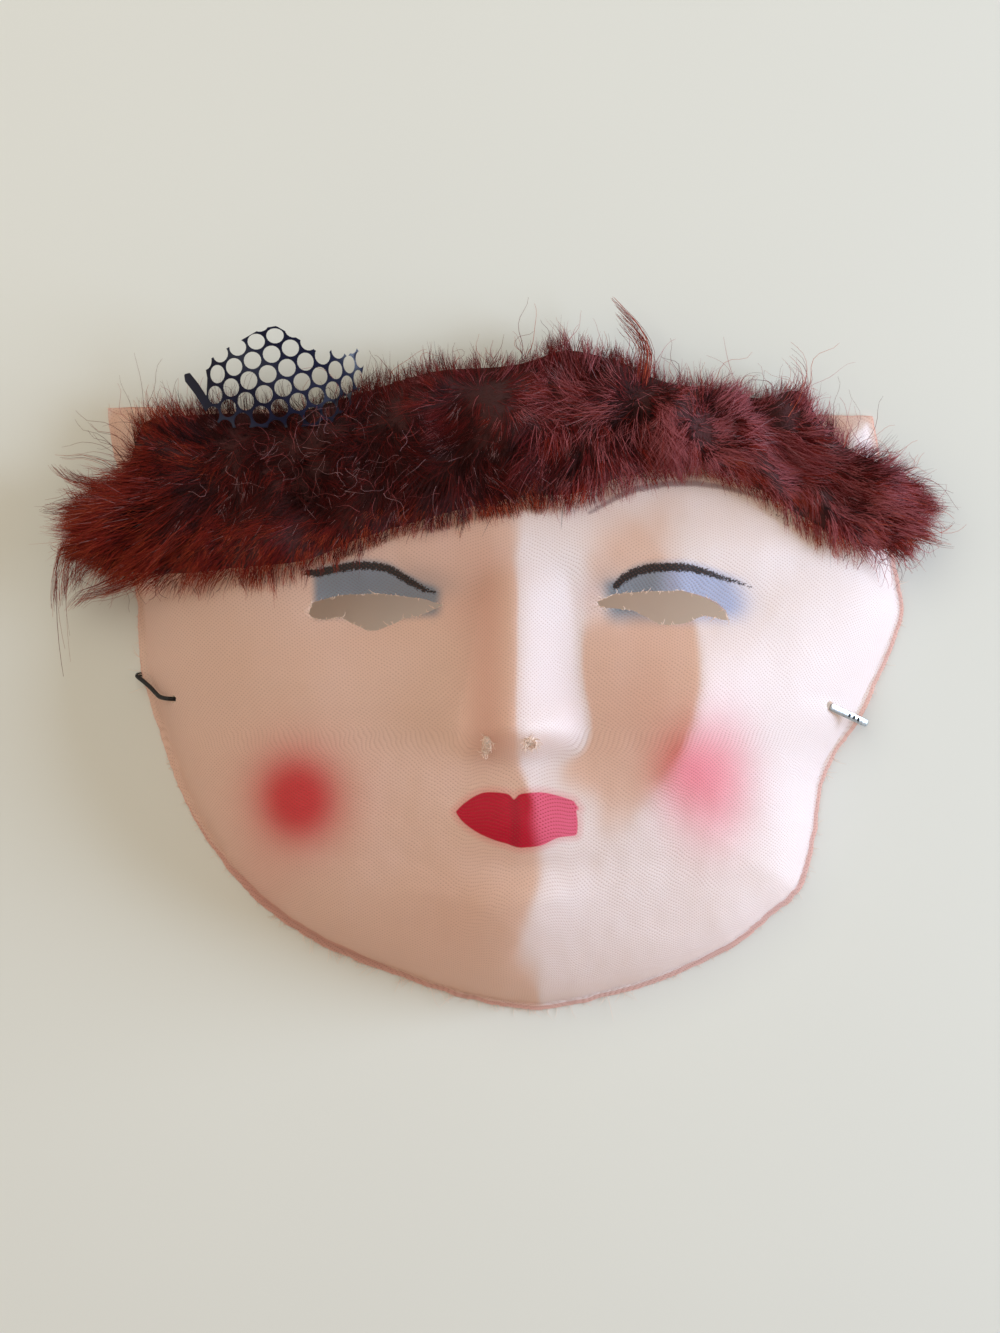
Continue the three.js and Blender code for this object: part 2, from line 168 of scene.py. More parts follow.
TABLE_SPAN = 8.0  # metres
table_paint, tree, shader = node_material("table_paint")
cloud = noise(tree, object_place(tree), 5.0, 3.0)
colour_between(tree, shader, cloud, srgb(206, 206, 200), srgb(212, 212, 205))
shader.inputs["Roughness"].default_value = 0.7
half = TABLE_SPAN / 2
corners = [(-half, -half, 0), (half, -half, 0), (half, half, 0), (-half, half, 0)]
table = mesh_object("table", corners, [(0, 1, 2, 3)], [table_paint])


# Elastic
# A round black elastic, 1 mm across, braided from fine covered rubber. It comes out of the left
# hole, lies loose under the mask, and comes up round the right edge to its metal end.
MM = 0.001  # metres
ELASTIC_RADIUS = 0.5
ON_TABLE = 0.56  # height of its middle where it lies on the table
ELASTIC_ROUTE = [
    (-71.6, -5.3, 6), (-72.1, -5.3, 7.8), (-73.4, -5.3, 9.9), (-75, -5.2, 10.7),
    (-76.6, -4.9, 9.6), (-78.1, -4, 7.1), (-79.5, -2.8, 5.4), (-81.5, -1.2, 4.4),
    (-82.9, -0.2, 3.1), (-82.7, 0.2, 1.5), (-81.2, 0.1, 0.7), (-76, -2.2, ON_TABLE),
    (-66, -10, ON_TABLE), (-60, -22, ON_TABLE), (-57, -36, ON_TABLE), (-46, -47, ON_TABLE),
    (-30, -54, ON_TABLE), (-12, -57, ON_TABLE), (6, -56, ON_TABLE), (24, -52, ON_TABLE),
    (40, -45, ON_TABLE), (52, -34, ON_TABLE), (60, -22, ON_TABLE), (68.5, -13.5, ON_TABLE),
    (78, -9.9, ON_TABLE), (81.6, -10.2, 0.8), (83.2, -10.8, 2), (83.5, -10.9, 3.9),
    (82.9, -10.6, 6.4), (82.3, -10.3, 8.5),
]


def route_points(places, steps):
    """A smooth line through places near and far apart, with steps points to each span."""
    p = np.array(places, float)
    p = np.vstack([2 * p[0] - p[1], p, 2 * p[-1] - p[-2]])
    found = []
    for i in range(1, len(p) - 2):
        p0, p1, p2, p3 = p[i - 1:i + 3]
        d0, d1, d2 = (np.linalg.norm(b - a) ** 0.5 for a, b in ((p0, p1), (p1, p2), (p2, p3)))
        m1 = ((p1 - p0) / d0 - (p2 - p0) / (d0 + d1) + (p2 - p1) / d1) * d1
        m2 = ((p2 - p1) / d1 - (p3 - p1) / (d1 + d2) + (p3 - p2) / d2) * d1
        for s in np.arange(steps) / steps:
            cubic = (2 * p1 - 2 * p2 + m1 + m2) * s**3 + (3 * p2 - 3 * p1 - 2 * m1 - m2) * s**2
            found.append(cubic + m1 * s + p1)
    found.append(p[-2])
    return np.array(found)


def unit(vectors, least=0.0):
    """The same directions, each of length 1."""
    return vectors / (np.linalg.norm(vectors, axis=-1, keepdims=True) + least)


def ring_walls(rings, sides):
    """Four-cornered faces that join rings of sides vertices, one after the other."""
    ring, spoke = np.meshgrid(np.arange(rings - 1), np.arange(sides), indexing="ij")
    a = (ring * sides + spoke).ravel()
    b = (ring * sides + (spoke + 1) % sides).ravel()
    return np.stack([a, b, b + sides, a + sides], axis=1)


def halved(quads):
    """Each four-cornered face as two triangles."""
    return np.concatenate([quads[:, [0, 1, 2]], quads[:, [0, 2, 3]]])


def keep_attribute(piece, name, values):
    """Writes one number a vertex to the piece, for its material to read."""
    layer = piece.data.attributes.new(name, "FLOAT", "POINT")
    layer.data.foreach_set("value", np.asarray(values, np.float32))


def read_attribute(tree, name):
    """The number that keep_attribute wrote under that name."""
    return add_node(tree, "Attribute", attribute_name=name).outputs["Fac"]


def tube(name, line, radius, sides, materials):
    """A closed tube along a line of points. It keeps the length along it, in mm, and the sine of
    the turn round it as attributes."""
    directions = unit(np.gradient(line, axis=0))
    side = np.cross(directions[0], (0.31, 0.17, 0.93))
    spokes = np.arange(sides)
    turn = spokes * 2 * math.pi / sides
    rings = []
    for point, along in zip(line, directions):
        side = side - along * side.dot(along)
        side /= np.linalg.norm(side)
        over = np.cross(along, side)
        rings.append(point + radius * (np.outer(np.cos(turn), side) + np.outer(np.sin(turn), over)))
    verts = np.concatenate([*rings, line[:1], line[-1:]])
    last = (len(line) - 1) * sides
    after = (spokes + 1) % sides
    first_cap = np.stack([after, spokes, np.full(sides, len(verts) - 2)], axis=1)
    last_cap = np.stack([last + spokes, last + after, np.full(sides, len(verts) - 1)], axis=1)
    tris = np.concatenate([halved(ring_walls(len(line), sides)), first_cap, last_cap])
    made = mesh_object(name, verts * MM, tris, materials)
    reach = np.concatenate([[0], np.cumsum(np.linalg.norm(np.diff(line, axis=0), axis=1))])
    keep_attribute(made, "along", np.concatenate([np.repeat(reach, sides), reach[[0, -1]]]))
    keep_attribute(made, "around", np.concatenate([np.tile(np.sin(turn), len(line)), [0, 0]]))
    return made


def calc(tree, operation, first, second=0.0, third=0.0):
    """The output of a Math node."""
    node = add_node(tree, "Math", {0: first, 1: second, 2: third}, operation=operation)
    return node.outputs[0]


def times(tree, first, second):
    """first multiplied by second."""
    return calc(tree, "MULTIPLY", first, second)


def step_between(tree, value, low, high):
    """0 where value is under low, 1 over high, with a smooth ramp between."""
    sockets = {"Value": value, "From Min": low, "From Max": high}
    node = add_node(tree, "MapRange", sockets, interpolation_type="SMOOTHSTEP")
    return node.outputs["Result"]


def raise_surface(tree, shader, height, strength, distance):
    """Bump on the shader's surface, as deep as distance in metres where height goes up by 1."""
    sockets = {"Height": height, "Strength": strength, "Distance": distance}
    tree.links.new(add_node(tree, "Bump", sockets).outputs["Normal"], shader.inputs["Normal"])


BRAID_PITCH = 0.9  # mm of elastic to each crossing of the braid
elastic_thread, tree, shader = node_material("elastic_thread")
crossings = times(tree, read_attribute(tree, "along"), 2 * math.pi / BRAID_PITCH)
strands_round = times(tree, read_attribute(tree, "around"), math.pi)
plait = times(tree, calc(tree, "SINE", crossings), calc(tree, "SINE", strands_round))
raise_surface(tree, shader, plait, strength=0.8, distance=0.00008)
colour_between(tree, shader, step_between(tree, plait, -0.4, 0.9), srgb(4, 4, 6), srgb(20, 19, 24))
shader.inputs["Roughness"].default_value = 0.62
elastic_line = route_points(ELASTIC_ROUTE, steps=12)
elastic = tube("elastic", elastic_line, ELASTIC_RADIUS, sides=10, materials=[elastic_thread])
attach(elastic, "root")
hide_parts("elastic_cord")


# Metal ends
# Each end of the elastic is pinched in a bar of bright tinned steel, folded round it, with three
# small pits from the pressing tool. The right one lies outside, the left one inside the mask.
TAG_LENGTH, TAG_WIDTH, TAG_THICKNESS = 12.6, 1.7, 0.8
TAG_CROWN, TAG_ROUNDING = 0.12, 0.14  # fall from middle to long edges, and the edges' radius
END_CUT, END_WIDTH, END_THICKNESS = 0.5, 0.72, 0.8  # mm that taper at each end, to those shares
TAG_PITS = (-0.1, 1.4, 2.9)  # along the bar from its middle
PIT_HALF, PIT_DEPTH, PIT_RIM = 0.4, 0.36, 0.05
LEFT_TAG = ((-69.4, -11.2, 5.2), (-73.8, 0.6, 5.2))
RIGHT_TAG = ((73.2, -6.8, 17.1), (83.0, -11.0, 9.4))


def roughness_between(tree, shader, mark, low, high):
    """Gives the shader a roughness that goes from low to high with mark."""
    node = add_node(tree, "MapRange", {"Value": mark, "To Min": low, "To Max": high})
    tree.links.new(node.outputs["Result"], shader.inputs["Roughness"])


tinned_steel, tree, shader = node_material("tinned_steel")
dull = noise(tree, object_place(tree), 1800.0, 3.0)
colour_between(tree, shader, dull, srgb(138, 145, 150), srgb(206, 211, 214))
roughness_between(tree, shader, dull, 0.18, 0.42)
shader.inputs["Metallic"].default_value = 0.9
# The pits are painted dark: painted shade in their hollows, and tarnish
pit_shade_and_tarnish, tree, shader = node_material("pit_shade_and_tarnish")
specks = noise(tree, object_place(tree), 2500.0, 2.0)
colour_between(tree, shader, specks, srgb(22, 24, 26), srgb(58, 60, 64))
shader.inputs["Roughness"].default_value = 0.7


def metal_end(name, start, end, node):
    """A folded bar between two points, with rounded ends and pits in its upper face."""
    made = bmesh.new()
    half_length, half_width = TAG_LENGTH / 2, TAG_WIDTH / 2
    cuts = sorted({-half_length, -half_length + END_CUT, half_length - END_CUT, half_length,
                   *(c - PIT_HALF for c in TAG_PITS), *(c + PIT_HALF for c in TAG_PITS)})
    bands = (-half_width, -PIT_HALF, PIT_HALF, half_width)
    grid = {}
    for i, x in enumerate(cuts):
        narrow, thin = (END_WIDTH, END_THICKNESS) if abs(x) == half_length else (1, 1)
        for j, y in enumerate(bands):
            high = TAG_THICKNESS / 2 - (TAG_CROWN if j in (0, 3) else 0)
            for k, z in enumerate((-high, high)):
                grid[i, j, k] = made.verts.new((x, y * narrow, z * thin))
    pits = []
    for i in range(len(cuts) - 1):
        middle = (cuts[i] + cuts[i + 1]) / 2
        for j in range(3):
            under, top = (
                [grid[i, j, k], grid[i + 1, j, k], grid[i + 1, j + 1, k], grid[i, j + 1, k]]
                for k in (0, 1)
            )
            face = made.faces.new(top)
            if j == 1 and any(math.isclose(middle, c, abs_tol=1e-6) for c in TAG_PITS):
                pits.append(face)
            made.faces.new(under[:1] + under[:0:-1])
        for j, order in ((0, 1), (3, -1)):
            ring = [grid[i, j, 0], grid[i + 1, j, 0], grid[i + 1, j, 1], grid[i, j, 1]]
            made.faces.new(ring[::order])
    for i, order in ((0, -1), (len(cuts) - 1, 1)):
        for j in range(3):
            ring = [grid[i, j, 0], grid[i, j + 1, 0], grid[i, j + 1, 1], grid[i, j, 1]]
            made.faces.new(ring[::order])
    bmesh.ops.inset_individual(made, faces=pits, thickness=PIT_RIM)
    for face in pits:
        face.material_index = 1
        bmesh.ops.translate(made, verts=face.verts, vec=(0, 0, -PIT_DEPTH))
    outer = [e for e in made.edges if e.is_manifold and e.calc_face_angle(0) > 0.9
             and all(abs(v.co.y) > PIT_HALF + 0.1 or abs(v.co.x) > half_length - 0.3
                     for v in e.verts)]
    bmesh.ops.bevel(made, geom=outer, offset=TAG_ROUNDING, segments=3, profile=0.6,
                    affect="EDGES")
    bmesh.ops.scale(made, vec=(MM, MM, MM), verts=made.verts)
    mesh = bpy.data.meshes.new(name)
    made.normal_update()
    made.to_mesh(mesh)
    made.free()
    mesh.shade_smooth()
    mesh.set_sharp_from_angle(angle=math.radians(35))
    mesh.materials.append(tinned_steel)
    mesh.materials.append(pit_shade_and_tarnish)
    bar = bpy.data.objects.new(name, mesh)
    bpy.context.scene.collection.objects.link(bar)
    along = (Vector(end) - Vector(start)).normalized()
    across = Vector((0, 0, 1)).cross(along).normalized()
    up = along.cross(across)
    turn = Matrix((along, across, up)).transposed().to_4x4()
    bar.matrix_world = Matrix.Translation((Vector(start) + Vector(end)) * 0.5 * MM) @ turn
    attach(bar, "root")
    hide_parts(node)
    return bar


left_end = metal_end("metal_end_left", *LEFT_TAG, "tag_left")
right_end = metal_end("metal_end_right", *RIGHT_TAG, "tag_right")


# Gauze shell
# One sheet of open-weave cotton gauze, soaked in starch and pressed over a mould. Its eye holes
# and rim are cut with scissors. Lips, lid lines, lid colour and cheeks are put on by hand.
CLOTH = 0.7
FLANGE = 1.5
WALL_RISE, TAB_RISE, DOME_RISE = 13.0, 4.0, 17.5
FACE_PITCH = 1.25  # mm between vertices on the plain parts of the face
FINE_PITCH = 0.7  # mm between them where paint or a cut edge needs them closer
RIM_PITCH, EYE_PITCH = 0.8, 0.55  # mm between the corners of their cut edges
DETAIL_REACH = 2.2  # mm from a cut edge or a painted line that FINE_PITCH reaches
RIM_DETAIL = 1.5  # mm that it reaches further in from the rim
SLOPE_STEP = 0.15  # mm to each side, to measure the face's slope
OFF_TABLE = 0.02  # mm that the underside keeps off the table

RIM_CURVE = [
    (-90.2, 61.5), (-88.7, 50.4), (-85.1, 38), (-83.7, 19.6), (-82.1, 1.2), (-77, -17.2),
    (-72.5, -28.7), (-66.7, -39.1), (-56.1, -51.9), (-40.5, -62.5), (-23.2, -69.2),
    (-8.7, -74.2), (9.2, -77), (26.9, -73.3), (38, -69.9), (53.4, -62.7), (62.1, -55.8),
    (68.8, -50.1), (71.1, -43.9), (73.1, -34.7), (74.1, -25.3), (76.8, -18.8), (81.2, -11.9),
    (84.5, -6), (89, 3.3), (92.3, 12), (92.7, 17), (90.2, 29), (88.5, 40), (87.2, 50.6),
    (85.8, 59.6),
]
LEFT_HOLE, RIGHT_HOLE = (-73.5, -5.3), (73.4, -6.6)
ELASTIC_HOLE = 0.9
ARCH = {"rise": 3.0, "half_width": 7.0, "left_y": 0.0, "right_y": -10.0}
CREASE_RISE = 7.5
CREASE = [(60, 4.5), (16, 3.5), (-10, 3.5), (-26, 8), (-45, 8), (-54, 2.5), (-80, 1)]
NOSE = {"top": 27.0, "tip": -12.0, "rise": 12.5, "ridge_x": 3.5, "under_y": -19.0}
LEFT_EYE = [
    (-41.8, 13.6), (-40.9, 16), (-34.6, 17.6), (-26.5, 17.9), (-16.8, 16.7), (-12, 15.2),
    (-17.4, 12.9), (-20.7, 12.3), (-22.6, 11.4), (-26.5, 9.8), (-28.7, 9.7), (-32.2, 11.4),
    (-35, 12.8), (-38.3, 12.1), (-40.9, 12.6),
]
RIGHT_EYE = [
    (20.9, 16), (24.4, 17.6), (31, 18.3), (39.4, 18.5), (44.8, 17), (47.2, 15.8), (49.1, 14),
    (49.6, 11.9), (48.1, 12.1), (44.5, 13), (42.4, 12.4), (40.5, 11.4), (36.8, 10.9),
    (34.4, 11), (31.3, 12.8), (28.7, 14.1), (25.2, 14.5), (21.5, 14.9),
]
NOSTRILS = [((-2.8, -14.6), (0.9, 2.0)), ((6.4, -14.2), (1.3, 1.4))]  # centre, half axes


def spline(points, steps):
    """steps + 1 places along a smooth line through points, as many to each span."""
    p = np.array(points, float)
    p = np.vstack([p[0], p, p[-1]])
    u = np.linspace(0, len(p) - 3, steps + 1)
    i = np.minimum(u.astype(int), len(p) - 4)
    s = (u - i)[:, None]
    p0, p1, p2, p3 = p[i], p[i + 1], p[i + 2], p[i + 3]
    v0, v1 = (p2 - p0) / 2, (p3 - p1) / 2
    return ((2 * p1 - 2 * p2 + v0 + v1) * s**3 + (3 * p2 - 3 * p1 - 2 * v0 - v1) * s**2
            + v0 * s + p1)


def evenly(line, pitch, closed=True):
    """A line's points again, pitch apart along it."""
    line = np.vstack([line, line[:1]]) if closed else np.asarray(line)
    reach = np.concatenate([[0], np.cumsum(np.hypot(*np.diff(line, axis=0).T))])
    count = max(3, round(reach[-1] / pitch))
    at = np.linspace(0, reach[-1], count + 1)[: count if closed else count + 1]
    return np.stack([np.interp(at, reach, line[:, 0]), np.interp(at, reach, line[:, 1])], axis=1)


def smooth(value, low, high):
    t = np.clip((value - low) / (high - low), 0, 1)
    return t * t * (3 - 2 * t)


def bell(offset, width):
    return np.exp(-((offset / width) ** 2))


def line_gap(x, y, line, closed=False):
    """Distance to a line of (x, y) or (x, y, half width) points, less its half width there."""
    line = [tuple(p) + (0,) * (3 - len(p)) for p in line]
    pairs = zip(line, line[1:] + line[:1]) if closed else zip(line, line[1:])
    best = np.full(np.shape(x), 1e3)
    for (ax, ay, aw), (bx, by, bw) in pairs:
        dx, dy = bx - ax, by - ay
        t = np.clip(((x - ax) * dx + (y - ay) * dy) / (dx * dx + dy * dy), 0, 1)
        best = np.minimum(best, np.hypot(x - ax - t * dx, y - ay - t * dy) - (aw + (bw - aw) * t))
    return best


def inside(x, y, outline):
    """True where a point is inside a closed outline."""
    within = np.zeros(np.shape(x), bool)
    for (ax, ay), (bx, by) in zip(outline, np.roll(outline, -1, axis=0)):
        crosses = (ay > y) != (by > y)
        if ay != by:
            within ^= crosses & (x < (bx - ax) * (y - ay) / (by - ay) + ax)
    return within


rim_sides = spline(RIM_CURVE, steps=60)
RIM = np.vstack([rim_sides, np.linspace(rim_sides[-1], rim_sides[0], 17)[1:-1]])


def ridge_line(pairs, at):
    """A straight run through (at, value) pairs given from the top down."""
    return np.interp(at, [a for a, _ in pairs[::-1]], [v for _, v in pairs[::-1]])


def wall_rise(y):
    return WALL_RISE + (TAB_RISE - WALL_RISE) * smooth(y, 26, 52)


def dome(x, y):
    reach = (x / 95) ** 2 + ((y + 10) / 80) ** 2
    return DOME_RISE * np.maximum(0, 1 - reach) ** 0.9


def crease(x, y):
    soft = 2.6 + 3.5 * smooth(y, 12, 34) + 3.5 * smooth(-y, 36, 54)
    across = np.hypot(x - ridge_line(CREASE, y), soft) - 2
    return CREASE_RISE * np.exp(-across / 28)


def nose(x, y):
    down = np.clip((NOSE["top"] - y) / (NOSE["top"] - NOSE["tip"]), 0, 1)
    flank = np.where(x > NOSE["ridge_x"], 11 + 4.5 * down, 6 + 7 * down)
    u = np.minimum(1, np.abs(x - NOSE["ridge_x"]) / flank)
    ridge = NOSE["rise"] * (0.12 + 0.88 * down**1.25) * smooth(down, 0, 0.25)
    wings = 1.8 * (bell(x - 12, 4.5) + 0.7 * bell(x + 5, 4)) * bell(y + 10, 5)
    return (ridge * (1 - u * u) ** 1.5 + wings) * smooth(y, NOSE["under_y"], NOSE["tip"] + 2)


def cheek_ridge(y, x=43.4):
    """Where the right cheek's ridge runs: at x beside the eye, and bowed in above and below."""
    return x - 0.012 * (y - 1) ** 2


def cheeks(x, y):
    from_ridge = x - cheek_ridge(y)
    off = np.hypot(from_ridge, 1.5) - 1.5
    run = np.where(from_ridge < 0, 25, 32)
    right = 10 * np.exp(-off / run) * bell(y + 6, 21) * smooth(x, 8, 26)
    return right + 3 * bell(x + 42, 22) * bell(y + 12, 22)


def sockets(x, y):
    brows = bell(y - 27, 8) * (1.6 * bell(x + 28, 22) + 3.2 * bell(x - 42, 15))
    return (brows - 3.6 * bell(x + 27, 18) * bell(y - 14, 9)
            - 3.6 * bell(x - 35, 16) * bell(y - 15, 9))


def mouth_and_chin(x, y):
    lips = 2 * bell(x - 4, 12) * bell(y + 31.5, 6)
    dip = -1.3 * bell(x - 5, 12) * bell(y + 42, 4)
    return lips + dip + 3.5 * bell(x - 3, 19) * bell(y + 51, 10)


def face_height(x, y):
    """Height of the shell's outer face as it left the mould, nearly the solid's."""
    distance = line_gap(x, y, RIM, closed=True)
    inset = np.hypot(np.maximum(0, distance - FLANGE), 0.5) - 0.5
    run = 2.8 + 3.2 * bell(y + 2, 28)
    wall = wall_rise(y) * (1 - np.exp(-inset / run))
    relief = crease(x, y) + nose(x, y) + cheeks(x, y) + sockets(x, y) + mouth_and_chin(x, y)
    arch_y = np.where(x < 0, ARCH["left_y"], ARCH["right_y"])
    arch = (ARCH["rise"] * smooth(np.abs(x), 50, 66) * bell(y - arch_y, ARCH["half_width"])
            * np.exp(-distance / 9))
    return CLOTH + wall + arch + (dome(x, y) + relief) * (1 - np.exp(-inset / 12))


def ripple(x, y, height, length, seed):
    """Soft waves in all directions, of about that height and length."""
    dice = np.random.default_rng(seed)
    total = np.zeros(np.shape(x))
    for _ in range(14):
        way = dice.uniform(0, math.pi)
        wave = 2 * math.pi / (length * dice.uniform(0.7, 1.6))
        across = x * math.cos(way) + y * math.sin(way)
        total += np.sin(across * wave + dice.uniform(0, 2 * math.pi))
    return total * height / 4


def fold(x, y, start, end, width, height):
    """A soft crease from start to end, that fades at both."""
    (ax, ay), (bx, by) = start, end
    dx, dy = bx - ax, by - ay
    size = math.hypot(dx, dy)
    along = ((x - ax) * dx + (y - ay) * dy) / size**2
    off = ((x - ax) * dy - (y - ay) * dx) / size
    fade = smooth(along, -0.1, 0.25) * smooth(-along, -1.1, -0.75)
    return height * np.exp(-np.hypot(off, 0.6 * width) / width) * fade


# Creases and dents from handling: start, end, width and height
FOLDS = [
    ((4.5, 36), (3.5, 10), 2.2, 0.7),
    ((2.5, -17), (8.5, -30), 1.4, 0.9),
    ((8, -41), (8.5, -50), 3.2, 0.9),
    ((8.5, -49), (-1.5, -66), 4.0, 1.1),
    ((10, -43), (22, -40), 1.3, -0.5),
    ((-22, -38), (-12, -43), 1.6, -0.6),
    ((-20, -46), (-9, -49), 1.2, 0.5),
    ((-6, -48), (6, -58), 1.6, 0.45),
    ((66, -4), (77, -5.5), 1.1, -0.9),
    ((66, -9.5), (78, -8.6), 1.2, 0.5),
    ((52, 2), (64, 20), 2.0, 0.5),
    ((-34, 8), (-58, -2), 3.0, 0.5),
    ((20, 8), (40, 4), 2.6, 0.6),
]


def worn_height(x, y):
    """The outer face with the creases, dents and tab wrinkles that handling has given it."""
    distance = line_gap(x, y, RIM, closed=True)
    soft = smooth(distance, 1.2, 9)
    worn = face_height(x, y)
    for start, end, width, height in FOLDS:
        worn += fold(x, y, start, end, width, height) * soft
    # The cloth between nose and right cheek has sunk, and the cheek's ridge stands up the more
    worn -= 3.4 * bell(x - 17, 12) * bell(y - 2, 27) * smooth(y, -50, -36)
    past_ridge = cheek_ridge(y, 43.2) - x
    worn += 2.2 * np.exp(-np.hypot(past_ridge, 0.5) / 9) * bell(y + 2, 22) * soft
    worn += 0.6 * bell(x - 19, 7) * bell(y, 22)
    worn += ripple(x, y, 0.16, 16, 3) * soft + ripple(x, y, 0.05, 4.5, 4) * soft
    wrinkles = 0.22 * np.sin(y * 2.1 + 0.5 * np.sin(x / 2.3)) * smooth(y, 44, 50)
    return worn + np.abs(wrinkles) * smooth(np.abs(x), 74, 80)


# Painted shapes: lines as (x, y, half width), and outlines as (x, y)
LEFT_LID = [
    (-42, 22.4, 0.8), (-40.2, 22.3, 1.0), (-37.7, 22.8, 1.0), (-35.2, 23.3, 1.0),
    (-32.7, 23.7, 1.0), (-30.3, 23.9, 1.0), (-26.5, 23.7, 0.95), (-24, 23.1, 0.9),
    (-21.6, 21.7, 0.9), (-19.1, 20.2, 0.85), (-16.6, 18.7, 0.7), (-13.4, 17.8, 0.3),
]
RIGHT_LID = [
    (25, 19.5, 0.9), (26.6, 20.9, 0.95), (28.7, 22.2, 1.0), (31.3, 23.1, 1.05),
    (34, 23.4, 1.05), (38.9, 23.5, 1.0), (41.8, 23.2, 0.9), (44.5, 22.5, 0.8),
    (47.1, 21.6, 0.65), (49.7, 20.8, 0.5), (52.5, 20.1, 0.35), (54.9, 19.4, 0.15),
]
LIPS = [
    (-9.5, -29.2), (-8.4, -27.9), (-6.2, -26.2), (-4.1, -25.1), (-2.3, -24.8), (0.3, -24.9),
    (2, -25.3), (3, -26.3), (4, -25.3), (5.7, -24.9), (9, -24.8), (12.2, -25.5),
    (15.5, -26.6), (16.1, -27.3), (16.9, -28.5), (16.3, -28.7), (16.6, -31.3), (16.4, -33.9),
    (15.5, -34.2), (12.2, -34.6), (9, -36.1), (5.7, -36.6), (3.7, -36.6), (1.3, -35.8),
    (-0.6, -35.3), (-4.1, -33.9), (-6.7, -32.3), (-8.4, -30.8),
]
LIP_FOLD = [(3, -26), (3.4, -31), (3.2, -36.5)]
BROW = [
    (19.5, 35.6, 0.2), (22, 37.1, 0.35), (26, 39.5, 0.5), (30.5, 41.5, 0.6), (37, 42.8, 0.6),
    (43.5, 43, 0.6), (50, 42.2, 0.5), (56.6, 40.4, 0.3), (60, 39, 0.15),
]
LEFT_BLUSH, RIGHT_BLUSH = (-44, -26.7), (46.5, -23)
# Width in mm of the band of painted shade round the rim, by the angle in degrees from the mask's
# middle
RIM_BAND = [
    (-180, 0.1), (-168, 0.1), (-155, 0.8), (-145, 2.2), (-125, 2.4), (-112, 1.1), (-92, 0.8),
    (-70, 0.9), (-50, 1.2), (-30, 1.3), (-12, 0.8), (4, 0.9), (22, 0.9), (40, 0.2), (180, 0.1),
]


def lid_wash(x, y):
    """Strength of the blue lid colour, between each lid line and its eye hole."""
    under_left, under_right = (
        np.interp(x, [p[0] for p in lid], [p[1] for p in lid]) - y for lid in (LEFT_LID, RIGHT_LID)
    )
    left = smooth(under_left, -2.2, 0.3) * smooth(x, -41.5, -39.5) * smooth(-x, 11.5, 15)
    left *= smooth(y, 11.5, 14.5)
    haze = 0.42 * bell(x + 17, 7) * bell(y - 19.5, 3.6) + 0.2 * bell(x + 31, 10) * bell(y - 23.5, 2)
    right = smooth(under_right, -2.4, 0.4) * smooth(x, 21, 25.5) * smooth(-x, -56, -47)
    right *= smooth(y, 9.5, 15)
    outer = 0.34 * bell(x - 52, 4) * bell(y - 16, 3.5)
    inner = 0.3 * bell(x - 24, 4) * bell(y - 19.5, 3.5)
    return np.clip(left + haze, 0, 1) * (x < 0) + np.clip(right + outer + inner, 0, 1) * (x > 0)


def blush(x, y):
    """Strength of the rose colour on the cheeks, and its faint tint round eyes and nose."""
    left = bell(np.hypot((x - LEFT_BLUSH[0]), (y - LEFT_BLUSH[1]) * 0.95), 10)
    left = 0.72 * left + 0.26 * bell(np.hypot(x - LEFT_BLUSH[0], y - LEFT_BLUSH[1]), 20)
    right = bell(np.hypot((x - RIGHT_BLUSH[0]) * 1.05, (y - RIGHT_BLUSH[1]) * 0.68), 12)
    tint = 0.16 * bell(x - 20, 6) * bell(y - 17, 6) + 0.16 * bell(x + 9, 7) * bell(y - 14, 9)
    tint += (0.34 * bell(x - 36.5, 7.5) * bell(y + 19, 10)
             + 0.14 * bell(x + 55, 9) * bell(y + 50, 12))
    return np.clip(left + 0.6 * right + tint, 0, 1)


def shade_strength(x, y):
    """Strength of the painted warm shade down the nose's left side and beside the nostrils, between
    the nose and the right cheek's ridge, on the left of the forehead and left of the chin.
    """
    side = 0.9 * bell(x + 2.6, 5) * smooth(y, -24, -12) * smooth(-y, -34, -16)
    side += 0.55 * bell(x - 30, 11) * bell(y + 8, 16) + 0.4 * bell(x + 10, 13) * bell(y - 27, 9)
    return np.clip(side + 0.3 * bell(x + 8, 14) * bell(y + 52, 10), 0, 1)


def hex_points(low, high, pitch):
    """Points of a triangular grid over a box, each moved a little at random."""
    dice = np.random.default_rng(11)
    rows = np.arange(low[1], high[1], pitch * 0.866)
    columns = np.arange(low[0], high[0], pitch)
    x, y = np.meshgrid(columns, rows)
    x = x + (np.arange(len(rows)) % 2)[:, None] * pitch / 2
    x = x + dice.uniform(-0.12, 0.12, x.shape) * pitch
    y = y + dice.uniform(-0.12, 0.12, x.shape) * pitch
    return np.stack([x.ravel(), y.ravel()], axis=1)


def cut_sheet(outline, holes, between):
    """Points and triangles of a flat sheet with that outline, its holes left open."""
    points, edges = [], []
    for loop in (outline, *holes):
        first = len(points)
        points += [Vector(p) for p in loop]
        edges += [(first + i, first + (i + 1) % len(loop)) for i in range(len(loop))]
    points += [Vector(p) for p in between]
    found = delaunay_2d_cdt(points, edges, [], 0, 1e-5)
    flat = np.array([tuple(p) for p in found[0]])
    triangles = np.array(found[2])
    middle = flat[triangles].mean(axis=1)
    kept = inside(middle[:, 0], middle[:, 1], outline)
    for hole in holes:
        kept &= ~inside(middle[:, 0], middle[:, 1], hole)
    triangles = triangles[kept]
    a, b, c = (flat[triangles[:, k]] for k in range(3))
    turned = (b[:, 0] - a[:, 0]) * (c[:, 1] - a[:, 1]) < (b[:, 1] - a[:, 1]) * (c[:, 0] - a[:, 0])
    triangles[turned] = triangles[turned][:, ::-1]
    used, renumbered = np.unique(triangles, return_inverse=True)
    return flat[used], renumbered.reshape(triangles.shape)


